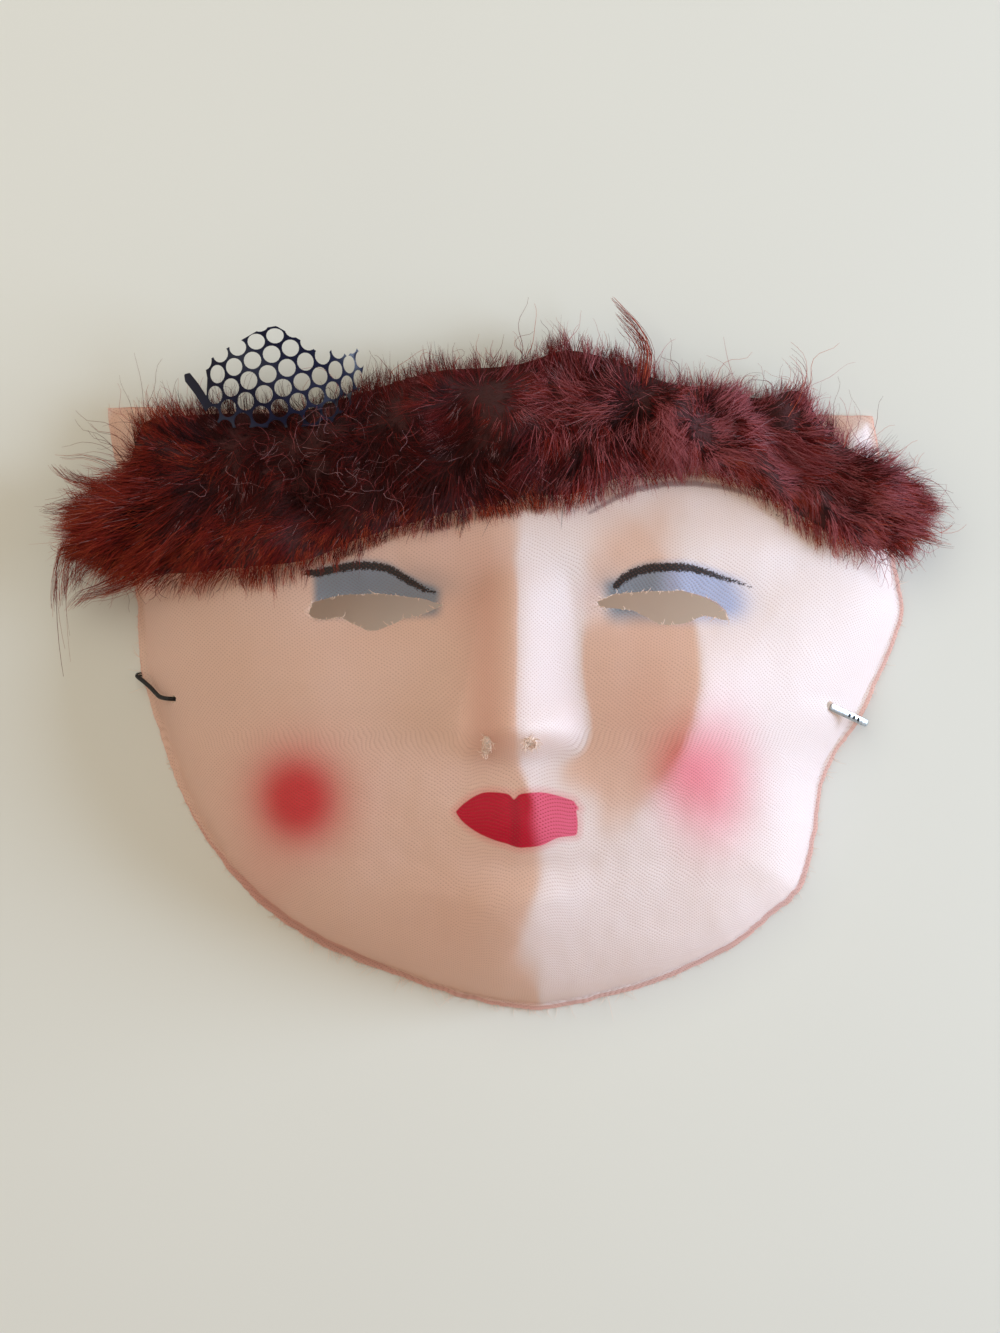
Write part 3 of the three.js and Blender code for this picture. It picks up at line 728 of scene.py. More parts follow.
def two_sided(name, upper, lower, triangles, materials):
    """A closed sheet between two skins. All but the upper one takes the last material."""
    count = len(upper)
    corners = np.concatenate([triangles[:, [0, 1]], triangles[:, [1, 2]], triangles[:, [2, 0]]])
    keys = {tuple(edge) for edge in corners.tolist()}
    border = np.array([edge for edge in keys if (edge[1], edge[0]) not in keys])
    walls = np.concatenate([
        np.stack([border[:, 1], border[:, 0], border[:, 0] + count], axis=1),
        np.stack([border[:, 1], border[:, 0] + count, border[:, 1] + count], axis=1),
    ])
    faces = np.concatenate([triangles, triangles[:, ::-1] + count, walls])
    sheet = mesh_object(name, np.concatenate([upper, lower]) * MM, faces, materials)
    index = np.zeros(len(faces), np.int32)
    index[len(triangles):] = len(materials) - 1
    sheet.data.polygons.foreach_set("material_index", index)
    sheet.data.set_sharp_from_angle(angle=math.radians(50))
    return sheet


def ellipse(centre, halves, sides):
    """An outline of that many sides, from its centre and half axes."""
    turn = np.arange(sides) * 2 * math.pi / sides
    return np.stack([centre[0] + halves[0] * np.cos(turn), centre[1] + halves[1] * np.sin(turn)], 1)


def ragged(outline, amount, seed):
    """An outline as scissors leave it: nearly true, with small steps and a soft waver."""
    dice = np.random.default_rng(seed)
    out = unit(outline - outline.mean(axis=0))
    waver = np.convolve(np.tile(dice.normal(size=len(out)), 3), np.ones(5) / 5, "same")
    waver = waver[len(out):2 * len(out)]
    return outline - out * (np.abs(waver) * amount)[:, None]


rim_line = ragged(evenly(RIM, RIM_PITCH), amount=0.35, seed=5)
holes = [ragged(evenly(np.array(eye), EYE_PITCH), amount=0.12, seed=seed)
         for eye, seed in ((LEFT_EYE, 6), (RIGHT_EYE, 7))]
holes += [ellipse(centre, halves, sides=18) for centre, halves in NOSTRILS]
holes += [ellipse(centre, (ELASTIC_HOLE, ELASTIC_HOLE), sides=14)
          for centre in (LEFT_HOLE, RIGHT_HOLE)]


def detail_gap(points):
    """Distance of each point from the nearest cut edge or painted line."""
    x, y = points.T
    return np.minimum.reduce([
        *(line_gap(x, y, hole, closed=True) for hole in holes),
        *(np.abs(line_gap(x, y, lid)) for lid in (LEFT_LID, RIGHT_LID)),
        line_gap(x, y, LIPS, closed=True),
        line_gap(x, y, BROW),
        line_gap(x, y, RIM, closed=True) - RIM_DETAIL,
    ])


def clear_of_edges(points, outline, openings, gap):
    """The points inside an outline that lie further than gap from it and from its openings."""
    x, y = points.T
    nearest = np.minimum.reduce([
        line_gap(x, y, loop, closed=True) for loop in (outline, *openings)
    ])
    return points[(nearest > gap) & inside(x, y, outline)]


coarse, fine = (
    hex_points(RIM.min(axis=0), RIM.max(axis=0), pitch) for pitch in (FACE_PITCH, FINE_PITCH)
)
between = np.concatenate([coarse[detail_gap(coarse) >= DETAIL_REACH + 0.4],
                          fine[detail_gap(fine) < DETAIL_REACH]])
between = clear_of_edges(between, rim_line, holes, gap=0.3)
flat, triangles = cut_sheet(rim_line, holes, between)
face_x, face_y = flat[:, 0], flat[:, 1]
slope_x, slope_y = (
    (worn_height(face_x + dx, face_y + dy) - worn_height(face_x - dx, face_y - dy))
    / (2 * SLOPE_STEP)
    for dx, dy in ((SLOPE_STEP, 0), (0, SLOPE_STEP))
)
outward = unit(np.stack([-slope_x, -slope_y, np.ones(len(flat))], axis=1))
upper = np.column_stack([flat, worn_height(face_x, face_y)])
lower = upper - outward * CLOTH
lower[:, 2] = np.maximum(lower[:, 2], OFF_TABLE)

# Heights on a square grid, to measure along the cloth, so that its weave keeps its size where
# the face is steep
GRID_STEP = 0.5
grid_x = np.arange(-96, 96 + GRID_STEP, GRID_STEP)
grid_y = np.arange(-80, 66 + GRID_STEP, GRID_STEP)
grid = worn_height(*np.meshgrid(grid_x, grid_y))


def cloth_length(heights, axis, start):
    """Length along the cloth from the row or column start, for each place of the grid."""
    step = np.hypot(np.diff(heights, axis=axis), GRID_STEP)
    reach = np.insert(np.cumsum(step, axis=axis), 0, 0, axis=axis)
    return reach - np.take(reach, [start], axis=axis)


def from_grid(values, x, y):
    """A grid's value at each place, by straight lines between its points."""
    column = np.clip((x - grid_x[0]) / GRID_STEP, 0, len(grid_x) - 1.001)
    row = np.clip((y - grid_y[0]) / GRID_STEP, 0, len(grid_y) - 1.001)
    i, j = row.astype(int), column.astype(int)
    s, t = row - i, column - j
    return ((values[i, j] * (1 - t) + values[i, j + 1] * t) * (1 - s)
            + (values[i + 1, j] * (1 - t) + values[i + 1, j + 1] * t) * s)


# How far each place leans towards +X, the side that the window light comes from, eased out over a
# few millimetres. It says where the sheen is painted.
SHEEN_SPREAD = 2.4
ease = np.exp(-((np.arange(-12, 13) * GRID_STEP / SHEEN_SPREAD) ** 2))
ease /= ease.sum()
light_facing = -np.gradient(grid, GRID_STEP, axis=1)
light_facing = np.apply_along_axis(np.convolve, 0, light_facing, ease, "same")
light_facing = np.apply_along_axis(np.convolve, 1, light_facing, ease, "same")
light_facing = from_grid(light_facing / np.hypot(light_facing, 1), face_x, face_y)

across_threads = from_grid(cloth_length(grid, 1, len(grid_x) // 2), face_x, face_y)
along_threads = from_grid(cloth_length(grid, 0, len(grid_y) // 2), face_x, face_y)


def weave_group():
    """Open plain weave: where its gaps are, how high its threads stand, and their fibres."""
    tree = bpy.data.node_groups.new("gauze_weave", "ShaderNodeTree")
    for way, names in (("INPUT", ("Across", "Along", "Across Pitch", "Along Pitch")),
                       ("OUTPUT", ("Gaps", "Height", "Fibre"))):
        for name in names:
            tree.interface.new_socket(name, in_out=way, socket_type="NodeSocketFloat")
    entry = tree.nodes.new("NodeGroupInput").outputs
    out = tree.nodes.new("NodeGroupOutput").inputs
    place = add_node(tree, "CombineXYZ", {"X": entry["Across"], "Y": entry["Along"]})
    place = place.outputs["Vector"]
    waver = noise(tree, place, 0.16, 2.0)
    shift = times(tree, calc(tree, "SUBTRACT", waver, 0.5), 1.4)
    waves = []
    for way in ("Across", "Along"):
        threads = calc(tree, "DIVIDE", calc(tree, "ADD", entry[way], shift), entry[way + " Pitch"])
        waves.append(calc(tree, "SINE", times(tree, threads, math.pi)))
    over = times(tree, *waves)
    fibre = noise(tree, place, 9.0, 3.0, 0.7)
    slack = noise(tree, place, 1.3, 2.0)
    size = calc(tree, "MULTIPLY_ADD", slack, -0.35, 0.64)
    gaps = step_between(tree, calc(tree, "SUBTRACT", over, size), 0.0, 0.32)
    height = calc(tree, "SUBTRACT", calc(tree, "MULTIPLY_ADD", over, -0.4, 0.5),
                  times(tree, gaps, 0.4))
    tree.links.new(gaps, out["Gaps"])
    tree.links.new(calc(tree, "MULTIPLY_ADD", fibre, 0.25, height), out["Height"])
    tree.links.new(fibre, out["Fibre"])
    return tree


def with_grain(tree, grain, gain, base):
    """base, moved up and down by gain times the grain's distance from its middle."""
    return calc(tree, "MULTIPLY_ADD", calc(tree, "SUBTRACT", grain, 0.5), gain, base)


gauze_weave = weave_group()
ACROSS_PITCH, ALONG_PITCH = 0.56, 0.4  # mm of cloth to each thread
GAUZE_PALE, GAUZE_WARM = srgb(248, 215, 204), srgb(244, 207, 193)
# Painted sheen: the near-white that slopes facing the light are painted
PAINTED_SHEEN_COLOUR = srgb(255, 249, 252)
GAUZE_INSIDE = srgb(244, 224, 212)
GAUZE_GLOW = (0.99, 0.89, 0.81, 1)  # colour of the light that comes through the cloth
RIM_SHADE_TONE = srgb(232, 184, 172)
ROSE, DEEP_ROSE, ROSE_SHEEN = srgb(236, 96, 104), srgb(228, 52, 66), srgb(255, 118, 146)
PAINTED_SHADE_TONE = srgb(206, 144, 124)
LID_BLUE, LID_SLATE = srgb(182, 200, 240), srgb(132, 152, 172)
LIP_RED, LIP_FOLD_SHADE, LIP_SHEEN = srgb(206, 2, 52), srgb(150, 0, 34), srgb(250, 118, 156)
CRAYON = srgb(34, 27, 26)
BROW_PLUM = srgb(120, 74, 88)
GAP_SHADOW = srgb(144, 86, 68)


def face_paint(tree, place, fibre, gaps, painted_sheen):
    """The paint, from the lowest layer to the topmost: how much of each, and its colour."""
    rose = with_grain(tree, fibre, 0.3, read_attribute(tree, "blush"))
    rose = times(tree, step_between(tree, rose, 0.02, 0.95), 0.95)
    deep = mix_colour(tree, rose, ROSE, DEEP_ROSE)
    # Painted shade: warm shade down the nose, between nose and right cheek, on the left forehead
    # and left of the chin
    painted_shade = times(tree, read_attribute(tree, "shade_strength"), 0.46)
    wash = times(tree, read_attribute(tree, "lid_wash"),
                 calc(tree, "MULTIPLY_ADD", fibre, 0.3, 0.78))
    side = add_node(tree, "SeparateXYZ", {"Vector": place}).outputs["X"]
    slate = step_between(tree, side, 0.039, 0.032)
    brow = with_grain(tree, fibre, 0.8, read_attribute(tree, "brow_gap"))
    lip_gap = read_attribute(tree, "lip_gap")
    halo = times(tree, step_between(tree, lip_gap, 2.0, 0.0), 0.3)
    lip = with_grain(tree, fibre, 0.35, lip_gap)
    # Painted shade along the fold down the lips' middle
    shade = step_between(tree, read_attribute(tree, "fold_gap"), 1.8, 0.2)
    red = mix_colour(tree, times(tree, shade, 0.35), LIP_RED, LIP_FOLD_SHADE)
    # Painted sheen on the lips' threads where the face leans towards the light, and a trace of wear
    # on them everywhere
    lip_sheen_and_wear = times(tree, calc(tree, "SUBTRACT", 1.0, gaps),
                     calc(tree, "MULTIPLY_ADD", painted_sheen, 0.8, 0.02))
    grain = noise(tree, place, 2600.0, 2.0, 0.6)
    line = with_grain(tree, grain, 1.7, read_attribute(tree, "lid_gap"))
    return [
        # the blush is painted paler under the painted sheen
        (rose, mix_colour(tree, painted_sheen, deep, ROSE_SHEEN)),
        (painted_shade, PAINTED_SHADE_TONE),
        (wash, mix_colour(tree, slate, LID_BLUE, LID_SLATE)),
        (times(tree, step_between(tree, brow, 0.5, -0.3), 0.6), BROW_PLUM),
        (halo, ROSE),
        (step_between(tree, lip, 0.16, -0.16), mix_colour(tree, lip_sheen_and_wear, red, LIP_SHEEN)),
        (times(tree, step_between(tree, line, 0.12, -0.3), 0.97), CRAYON),
    ]


def gauze_material(name, painted, through):
    """Starched gauze, bare or with the face painted on it. through is its share of the light."""
    made, tree, shader = node_material(name)
    weave = tree.nodes.new("ShaderNodeGroup")
    weave.node_tree = gauze_weave
    tree.links.new(read_attribute(tree, "across_threads"), weave.inputs["Across"])
    tree.links.new(read_attribute(tree, "along_threads"), weave.inputs["Along"])
    weave.inputs["Across Pitch"].default_value = ACROSS_PITCH
    weave.inputs["Along Pitch"].default_value = ALONG_PITCH
    gaps, fibre = weave.outputs["Gaps"], weave.outputs["Fibre"]
    place = object_place(tree)
    starch = noise(tree, place, 38.0, 3.0)
    colour = mix_colour(tree, starch, GAUZE_WARM, GAUZE_PALE)
    layers = []
    if painted:
        # Painted sheen: the face is painted paler, near white, where it leans towards the window
        # light
        facing = with_grain(tree, starch, 0.05, read_attribute(tree, "light_facing"))
        painted_sheen = times(tree, step_between(tree, facing, -0.06, 0.19), 0.97)
        colour = mix_colour(tree, painted_sheen, colour, PAINTED_SHEEN_COLOUR)
        layers = face_paint(tree, place, fibre, gaps, painted_sheen)
    # Painted shade on the flat flange round the rim
    edge = step_between(tree, read_attribute(tree, "rim_share"), 1.06, 0.9)
    layers.append((times(tree, edge, 0.6), RIM_SHADE_TONE))
    glow = GAUZE_GLOW
    for amount, paint in layers:
        colour = mix_colour(tree, amount, colour, paint)
        glow = mix_colour(tree, amount, glow, paint)
    if not painted:
        colour = mix_colour(tree, 0.6, colour, GAUZE_INSIDE)
    # Painted shade: the weave's gaps, and the low places between its threads, are darkened towards
    # GAP_SHADOW
    shadow = mix_colour(tree, 0.7, colour, GAP_SHADOW)
    colour = mix_colour(tree, times(tree, gaps, 0.85), colour, shadow)
    hollow = step_between(tree, weave.outputs["Height"], 0.5, 0.2)
    colour_between(tree, shader, times(tree, hollow, 0.2), colour, shadow)
    roughness_between(tree, shader, fibre, 0.5, 0.68)
    shader.inputs["IOR"].default_value = 1.5
    shader.inputs["Coat Weight"].default_value = 0.1
    shader.inputs["Coat Roughness"].default_value = 0.45
    raise_surface(tree, shader, weave.outputs["Height"], strength=0.7, distance=0.00014)
    passed = add_node(tree, "BsdfTranslucent", {"Color": glow})
    mixed = add_node(tree, "MixShader", {0: through, 1: shader.outputs[0], 2: passed.outputs[0]})
    tree.links.new(mixed.outputs[0], tree.nodes["Material Output"].inputs["Surface"])
    return made


painted_gauze = gauze_material("painted_gauze", painted=True, through=0.54)
plain_gauze = gauze_material("plain_gauze", painted=False, through=0.9)
shell = two_sided("mask_shell", upper, lower, triangles, [painted_gauze, plain_gauze])

lip_line = spline(LIPS + LIPS[:1], steps=168)[:-1]
lip_gap = line_gap(face_x, face_y, lip_line, closed=True)
lip_gap = np.where(inside(face_x, face_y, lip_line), -lip_gap, lip_gap)
lid_gap = np.minimum(line_gap(face_x, face_y, LEFT_LID), line_gap(face_x, face_y, RIGHT_LID))
rim_gap = line_gap(face_x, face_y, rim_line, closed=True)
rim_turn = np.degrees(np.arctan2(face_y + 10, face_x))
rim_band = np.interp(rim_turn, *zip(*RIM_BAND))
for name, values in (
    ("across_threads", across_threads),
    ("along_threads", along_threads),
    ("light_facing", light_facing),
    ("rim_share", rim_gap / rim_band),
    ("lip_gap", lip_gap),
    ("fold_gap", line_gap(face_x, face_y, LIP_FOLD)),
    ("lid_gap", lid_gap),
    ("brow_gap", line_gap(face_x, face_y, BROW)),
    ("lid_wash", lid_wash(face_x, face_y)),
    ("blush", blush(face_x, face_y)),
    ("shade_strength", shade_strength(face_x, face_y)),
):
    keep_attribute(shell, name, np.concatenate([values, values]))  # the same on both skins
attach(shell, "root")
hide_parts("gauze_shell")


# Frayed threads
# Loose cotton threads of the gauze itself, which stand out of the cut rim, the eye holes and the
# torn nostrils. The starch holds them where the scissors and wear have left them.
def strands(name, paths, radii, materials, index=None):
    """Many thin three-sided threads in one mesh: paths is threads x points x 3, in mm."""
    count, points = paths.shape[:2]
    along = unit(np.gradient(paths, axis=1), least=1e-9)
    side = unit(np.cross(along, (0.23, 0.11, 0.97)), least=1e-9)
    over = np.cross(along, side)
    turn = np.arange(3) * 2 * math.pi / 3
    ring = (side[:, :, None] * np.cos(turn)[:, None] + over[:, :, None] * np.sin(turn)[:, None])
    verts = (paths[:, :, None] + ring * radii[:, :, None, None]).reshape(-1, 3)
    thread, step, corner = np.meshgrid(np.arange(count), np.arange(points - 1), np.arange(3),
                                       indexing="ij")
    base = (thread * points + step) * 3
    a, b = base + corner, base + (corner + 1) % 3
    quads = np.stack([a, b, b + 3, a + 3], axis=-1).reshape(-1, 4)
    made = mesh_object(name, verts * MM, quads, materials)
    if index is not None:
        each = np.repeat(index.reshape(count, points - 1), 3, axis=1).reshape(-1)
        made.data.polygons.foreach_set("material_index", each.astype(np.int32))
    return made


cotton_thread, tree, shader = node_material("cotton_thread")
shader.inputs["Base Color"].default_value = srgb(238, 214, 198)
shader.inputs["Roughness"].default_value = 0.8
FRAY_COUNT, FRAY_POINTS = 1500, 4
FACE_MIDDLE = (6, -9)
dice = np.random.default_rng(21)
at = dice.integers(0, len(rim_line), FRAY_COUNT)
root = rim_line[at]
out = unit(root - np.array(FACE_MIDDLE))
reach = dice.gamma(1.6, 0.45, FRAY_COUNT) * np.where(root[:, 1] > 45, 0.4, 1.0)
reach *= np.where((root[:, 1] < -55) & (root[:, 0] < 30), 1.9, 1.0)
swing = dice.normal(0, 0.9, FRAY_COUNT)
way = unit(np.stack([out[:, 0] - out[:, 1] * swing, out[:, 1] + out[:, 0] * swing], axis=1))
share = np.linspace(0, 1, FRAY_POINTS)
s = share[None, :, None]
curl = dice.normal(0, 0.35, (FRAY_COUNT, 1, 1)) * reach[:, None, None]
bend = np.stack([-way[:, 1], way[:, 0]], axis=1)[:, None]
place = root[:, None] - out[:, None] * 0.3 + way[:, None] * s * reach[:, None, None]
place = place + bend * curl * s**2
rise = 0.15 + dice.uniform(0, 0.55, (FRAY_COUNT, 1)) * (0.4 + share)
paths = np.concatenate([place, rise[:, :, None]], axis=2)
edge_height = worn_height(*(root - out * 0.4).T) - CLOTH
paths[:, :, 2] += np.maximum(0, edge_height)[:, None]
radii = np.linspace(0.06, 0.02, FRAY_POINTS)[None].repeat(FRAY_COUNT, axis=0)

# Short ends that stand out of the cut eye holes, 0 and 1, and of the torn nostrils, 2 and 3
ENDS = 480
at = dice.integers(0, 4, ENDS)
root = np.array([holes[k][dice.integers(0, len(holes[k]))] for k in at])
middle = np.array([holes[k].mean(axis=0) for k in at])
nostril = at > 1
turn = np.arctan2(*(middle - root).T[::-1]) + dice.normal(0, 0.9, ENDS) * np.where(nostril, 1.6, 1)
reach = np.where(nostril, dice.uniform(0.4, 1.5, ENDS), dice.gamma(1.3, 0.3, ENDS))
turn = turn[:, None] + dice.normal(0, 0.9, (ENDS, 1)) * share
ends = np.stack([
    root[:, :1] + reach[:, None] * np.cos(turn) * share,
    root[:, 1:] + reach[:, None] * np.sin(turn) * share,
    worn_height(*root.T)[:, None] + dice.uniform(-0.3, 1.2, (ENDS, 1)) * share,
], axis=2)
paths = np.concatenate([paths, ends])
radii = np.concatenate([radii, np.linspace(0.1, 0.05, FRAY_POINTS)[None].repeat(ENDS, axis=0)])
fray = strands("frayed_threads", paths, radii, [cotton_thread])
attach(fray, "root")


# Fur fringe
# A strip of long-pile auburn fur fabric, glued across the forehead. Its knitted backing and
# dense underfur are one dark body, and the pile lies over it in lumpy, tangled locks.
FUR_ENDS = 97.0  # how far it reaches to each side
FUR_EDGE = 2.2  # thickness at its edges
UNDERFUR_SHARE = 0.62  # of the pile's depth
FUR_LOWER = spline([
    (-97, 28), (-87, 22), (-73, 19.5), (-59, 20.5), (-43, 22), (-31, 26.5), (-15, 31.5),
    (4.5, 36.5), (16, 37), (28, 42), (44, 45.5), (57, 40.5), (66, 33.5), (76, 28.6), (86, 27),
    (92, 28.5), (95.5, 33), (97, 37),
], steps=200)
FUR_UPPER = spline([
    (-97, 36.5), (-93, 40.5), (-88, 43.5), (-84.5, 48), (-82.5, 55), (-79.5, 60.5), (-66, 62),
    (-45, 62.5), (-30, 67), (-15, 71), (4, 72.5), (15, 76), (26, 73), (38, 67.5), (50, 66),
    (59, 64.5), (68, 66.5), (73, 58.5), (79, 53), (84, 50.5), (90, 47.5), (94.2, 44), (97, 39.5),
], steps=200)
FUR_DEPTH = [(97, 5), (80, 10), (60, 13), (0, 14), (-60, 12), (-82, 9), (-97, 5)]


def under_fur(x, y):
    """Height of the cloth under the fur, carried on smoothly past the rim."""
    return wall_rise(y) + dome(x, y) + 0.4 * crease(x, y)


def tufts(x, y):
    """Locks, lumps and the parting in the pile."""
    locks = np.sin(x / 3.1 + 1.6 * np.sin(y / 7)) * 0.9
    lumps = np.sin(x / 9.5 + 0.6) * np.sin(y / 6.5 + x / 23) * 1.3
    return locks + lumps - 3.2 * bell(x - 62 - (52 - y) * 0.42, 3.2) * smooth(y, 30, 38)


def strip_edges(x):
    """The strip's lower and upper edge."""
    return np.interp(x, *FUR_LOWER.T), np.interp(x, *FUR_UPPER.T)


def end_taper(x):
    """Share of its width that the strip keeps towards its ends."""
    return 1 - 0.35 * smooth(np.abs(x), 88, FUR_ENDS)


def across_strip(x, y):
    """-1 at the strip's lower edge, 1 at its upper edge."""
    low, high = strip_edges(x)
    return (2 * y - low - high) / ((high - low) * end_taper(x))


def strip_swell(x, y):
    """How full the strip is across its width: 1 along its middle, 0 at its edges."""
    return (1 - np.clip(np.abs(across_strip(x, y)), 0, 1) ** 2.6) ** 0.6


def underfur_top(x, y):
    """Height of the dense underfur, which the long pile lies over."""
    swell = strip_swell(x, y)
    depth = FUR_EDGE * 0.5 + (ridge_line(FUR_DEPTH, x) - FUR_EDGE) * swell * UNDERFUR_SHARE
    lumps = tufts(x, y) * 1.2 + ripple(x, y, 0.9, 17, 31)
    ends = smooth(-np.abs(x), -FUR_ENDS - 6, -FUR_ENDS + 2)
    return under_fur(x, y) + depth + lumps * swell * ends


fur_backing, tree, shader = node_material("fur_underfur")
felt = noise(tree, object_place(tree), 900.0, 4.0, 0.65)
colour_between(tree, shader, felt, srgb(30, 5, 6), srgb(74, 17, 18))
shader.inputs["Roughness"].default_value = 0.9
raise_surface(tree, shader, felt, strength=1.0, distance=0.0008)

BODY_SECTIONS, BODY_TOP, BODY_UNDER = 150, 40, 8  # rings, and each ring's upper and lower corners
BODY_WIDTH = 0.86  # of the strip's, as the pile hides the rest
rings = []
for x in np.linspace(-FUR_ENDS + 5, FUR_ENDS - 5, BODY_SECTIONS):
    low, high = strip_edges(x)
    middle, half = (low + high) / 2, (high - low) / 2 * end_taper(x) * BODY_WIDTH
    xs = np.full(BODY_TOP, x)
    y = middle + half * -np.cos(np.linspace(0, math.pi, BODY_TOP))
    top = np.column_stack([xs, y, underfur_top(xs, y)])
    xs = np.full(BODY_UNDER, x)
    y = middle + half * np.linspace(0.97, -0.97, BODY_UNDER)
    floor = np.where(inside(xs, y, RIM), worn_height(xs, y) + 0.25, under_fur(xs, y) * 0.75)
    below = np.minimum(floor, underfur_top(xs, y) - 0.6)
    rings.append(np.concatenate([top, np.column_stack([xs, y, below])]))
ring_size = BODY_TOP + BODY_UNDER
last = (BODY_SECTIONS - 1) * ring_size
fan = np.arange(1, ring_size - 1)
start = np.zeros_like(fan)
tris = np.concatenate([
    halved(ring_walls(BODY_SECTIONS, ring_size)[:, ::-1]),
    np.stack([start, fan, fan + 1], axis=1),
    np.stack([start, fan + 1, fan], axis=1) + last,
])
fur_body = mesh_object("fur_underfur", np.concatenate(rings) * MM, tris, [fur_backing])
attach(fur_body, "root")
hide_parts("fur_strip")

# Pile colours, from the darkest, at a hair's foot, to the palest, at some tips. The foot's
# near-black is painted shade at the roots, and smoke is a painted highlight.
FUR_TINTS = {
    "foot": (26, 3, 3),
    "ember": (50, 5, 6),
    "auburn": (86, 12, 10),
    "wine": (104, 20, 23),
    "russet": (128, 32, 20),
    "rust": (166, 66, 38),
    "plum": (160, 84, 88),
    "smoke": (164, 124, 130),
}
fur_materials = []
for tint, colour in FUR_TINTS.items():
    made, tree, shader = node_material("fur_" + tint)
    shader.inputs["Base Color"].default_value = srgb(*colour)
    shader.inputs["Roughness"].default_value = 0.6
    shader.inputs["Specular IOR Level"].default_value = 0.2
    fur_materials.append(made)


def pile_way(x, y, dice):
    """The way in which the pile lies at a place: outwards, along the ends, and a little tangled."""
    t = across_strip(x, y)
    sweep = -1.5 * smooth(-x, 48, 84) * smooth(-y, -54, -44) + 1.1 * smooth(x, 66, 90)
    tangle_x = ripple(x, y, 0.6, 19, 41) + ripple(x, y, 0.3, 7, 43)
    tangle_y = ripple(x, y, 0.5, 19, 42) + ripple(x, y, 0.3, 7, 44)
    edge = smooth(np.abs(t), 0.35, 0.85)
    drift = 0.9 * smooth(x, 22, 58) - 0.4 * smooth(-x, -20, 40)
    way_x = sweep + drift * (1 - 0.5 * edge) + tangle_x * (1 - 0.6 * edge)
    way_y = 1.3 * t * (0.5 + edge) - 0.45 * (1 - edge) + tangle_y * (1 - 0.7 * edge)
    angle = np.arctan2(way_y, way_x) + dice.normal(0, 0.2, x.shape)
    return np.stack([np.cos(angle), np.sin(angle)], axis=1)


HAIR_POINTS = 5
SHORTEST = 3  # mm of a hair that trimming leaves
ALONG_HAIR = np.linspace(0, 1, HAIR_POINTS)


def pile_paths(x, y, way, length, lift, curl, phase):
    """Hairs that rise from the underfur and lie over along way, swaying from side to side."""
    reach = length[:, None] * (0.25 * ALONG_HAIR + 0.75 * ALONG_HAIR**1.6)
    side = np.stack([-way[:, 1], way[:, 0]], axis=1)
    sway = (curl * length)[:, None] * np.sin(phase[:, None] + ALONG_HAIR * 3.6) * ALONG_HAIR
    flat = (np.stack([x, y], axis=1)[:, None] + way[:, None] * reach[:, :, None]
            + side[:, None] * sway[:, :, None])
    floor = underfur_top(flat[:, :, 0], flat[:, :, 1])
    above = lift[:, None] * np.sin(np.minimum(ALONG_HAIR * 1.9, 1.9)) * length[:, None]
    height = floor - 0.9 * (1 - ALONG_HAIR) ** 2 + above
    return np.concatenate([flat, height[:, :, None]], axis=2)


FUR_OUTLINE = np.vstack([FUR_LOWER[::4], FUR_UPPER[::-4]])


def past_strip(x, y):
    """Distance past the strip's outline, negative inside it."""
    gap = line_gap(x, y, FUR_OUTLINE, closed=True)
    return np.where(inside(x, y, FUR_OUTLINE), -gap, gap)


def trimmed(x, y, way, length, limit):
    """Each hair's length, cut so that its tip stays within its own limit past the outline."""
    for _ in range(3):
        past = past_strip(x + way[:, 0] * length, y + way[:, 1] * length)
        length = np.clip(length - np.maximum(0, past - limit), SHORTEST, None)
    return length


PILE_COUNT, PIECE_HAIRS = 31500, 6300  # hairs in all, and in each piece
LOCK_PITCH, TUFT_PITCH = 2.5, 6.8  # mm from one lock or tuft to the next
dice = np.random.default_rng(51)
tries = PILE_COUNT * 2
x = dice.uniform(-FUR_ENDS + 3, FUR_ENDS - 3, tries)
y = dice.uniform(*strip_edges(x))
t = across_strip(x, y)
fullest = dice.uniform(0, 1, tries)
fullest = np.where(t < 0, 0.86 + 0.13 * fullest, 0.72 + 0.25 * fullest)
kept = np.flatnonzero(np.abs(t) < fullest)[:PILE_COUNT]
x, y, t = x[kept], y[kept], t[kept]


def lock_of(x, y, pitch):
    """The middle of the lock that each hair belongs to, and a turn of the lock's own."""
    column, row = np.round(x / pitch), np.round(y / pitch)
    spread = np.sin(column * 12.9898 + row * 78.233) * 43758.5453
    turn = (spread - np.floor(spread)) * 2 * math.pi
    return (column * pitch + np.cos(turn) * pitch * 0.35,
            row * pitch + np.sin(turn) * pitch * 0.35, turn)


lock_x, lock_y, lock_turn = lock_of(x + ripple(x, y, 0.9, 7, 45), y, LOCK_PITCH)
tuft_x, tuft_y, tuft_turn = lock_of(x, y + ripple(x, y, 1.5, 15, 46), TUFT_PITCH)
# Longer at both ends, shorter along the lower edge, and each lock and tuft has its own length
at_left = smooth(-x, 52, 82)
length = 10 + 2.5 * np.sin(lock_turn * 3.3) + 9 * at_left + 3 * smooth(x, 70, 88)
length *= np.where(t < -0.5, 0.75, 1.0) * (0.85 + 0.25 * np.sin(tuft_turn * 2.3))
length *= dice.uniform(0.7, 1.05, len(x))
lift = dice.uniform(0.08, 0.24, len(x)) * (1 + 0.6 * np.cos(tuft_turn * 1.7))
limit = dice.gamma(2.0, 0.8, len(x)) - 0.5 + 0.5 * np.cos(lock_turn * 2.9)
way = pile_way(x, y, dice)
still = np.random.default_rng(52)
length = trimmed(x, y, way, length, limit)
own = pile_paths(x, y, way, length, lift, dice.normal(0, 0.13, len(x)),
                 dice.uniform(0, 2 * math.pi, len(x)))
lock = pile_paths(lock_x, lock_y, pile_way(lock_x, lock_y, still), length, lift,
                  0.2 * np.cos(lock_turn * 5.1), lock_turn * 7.7)
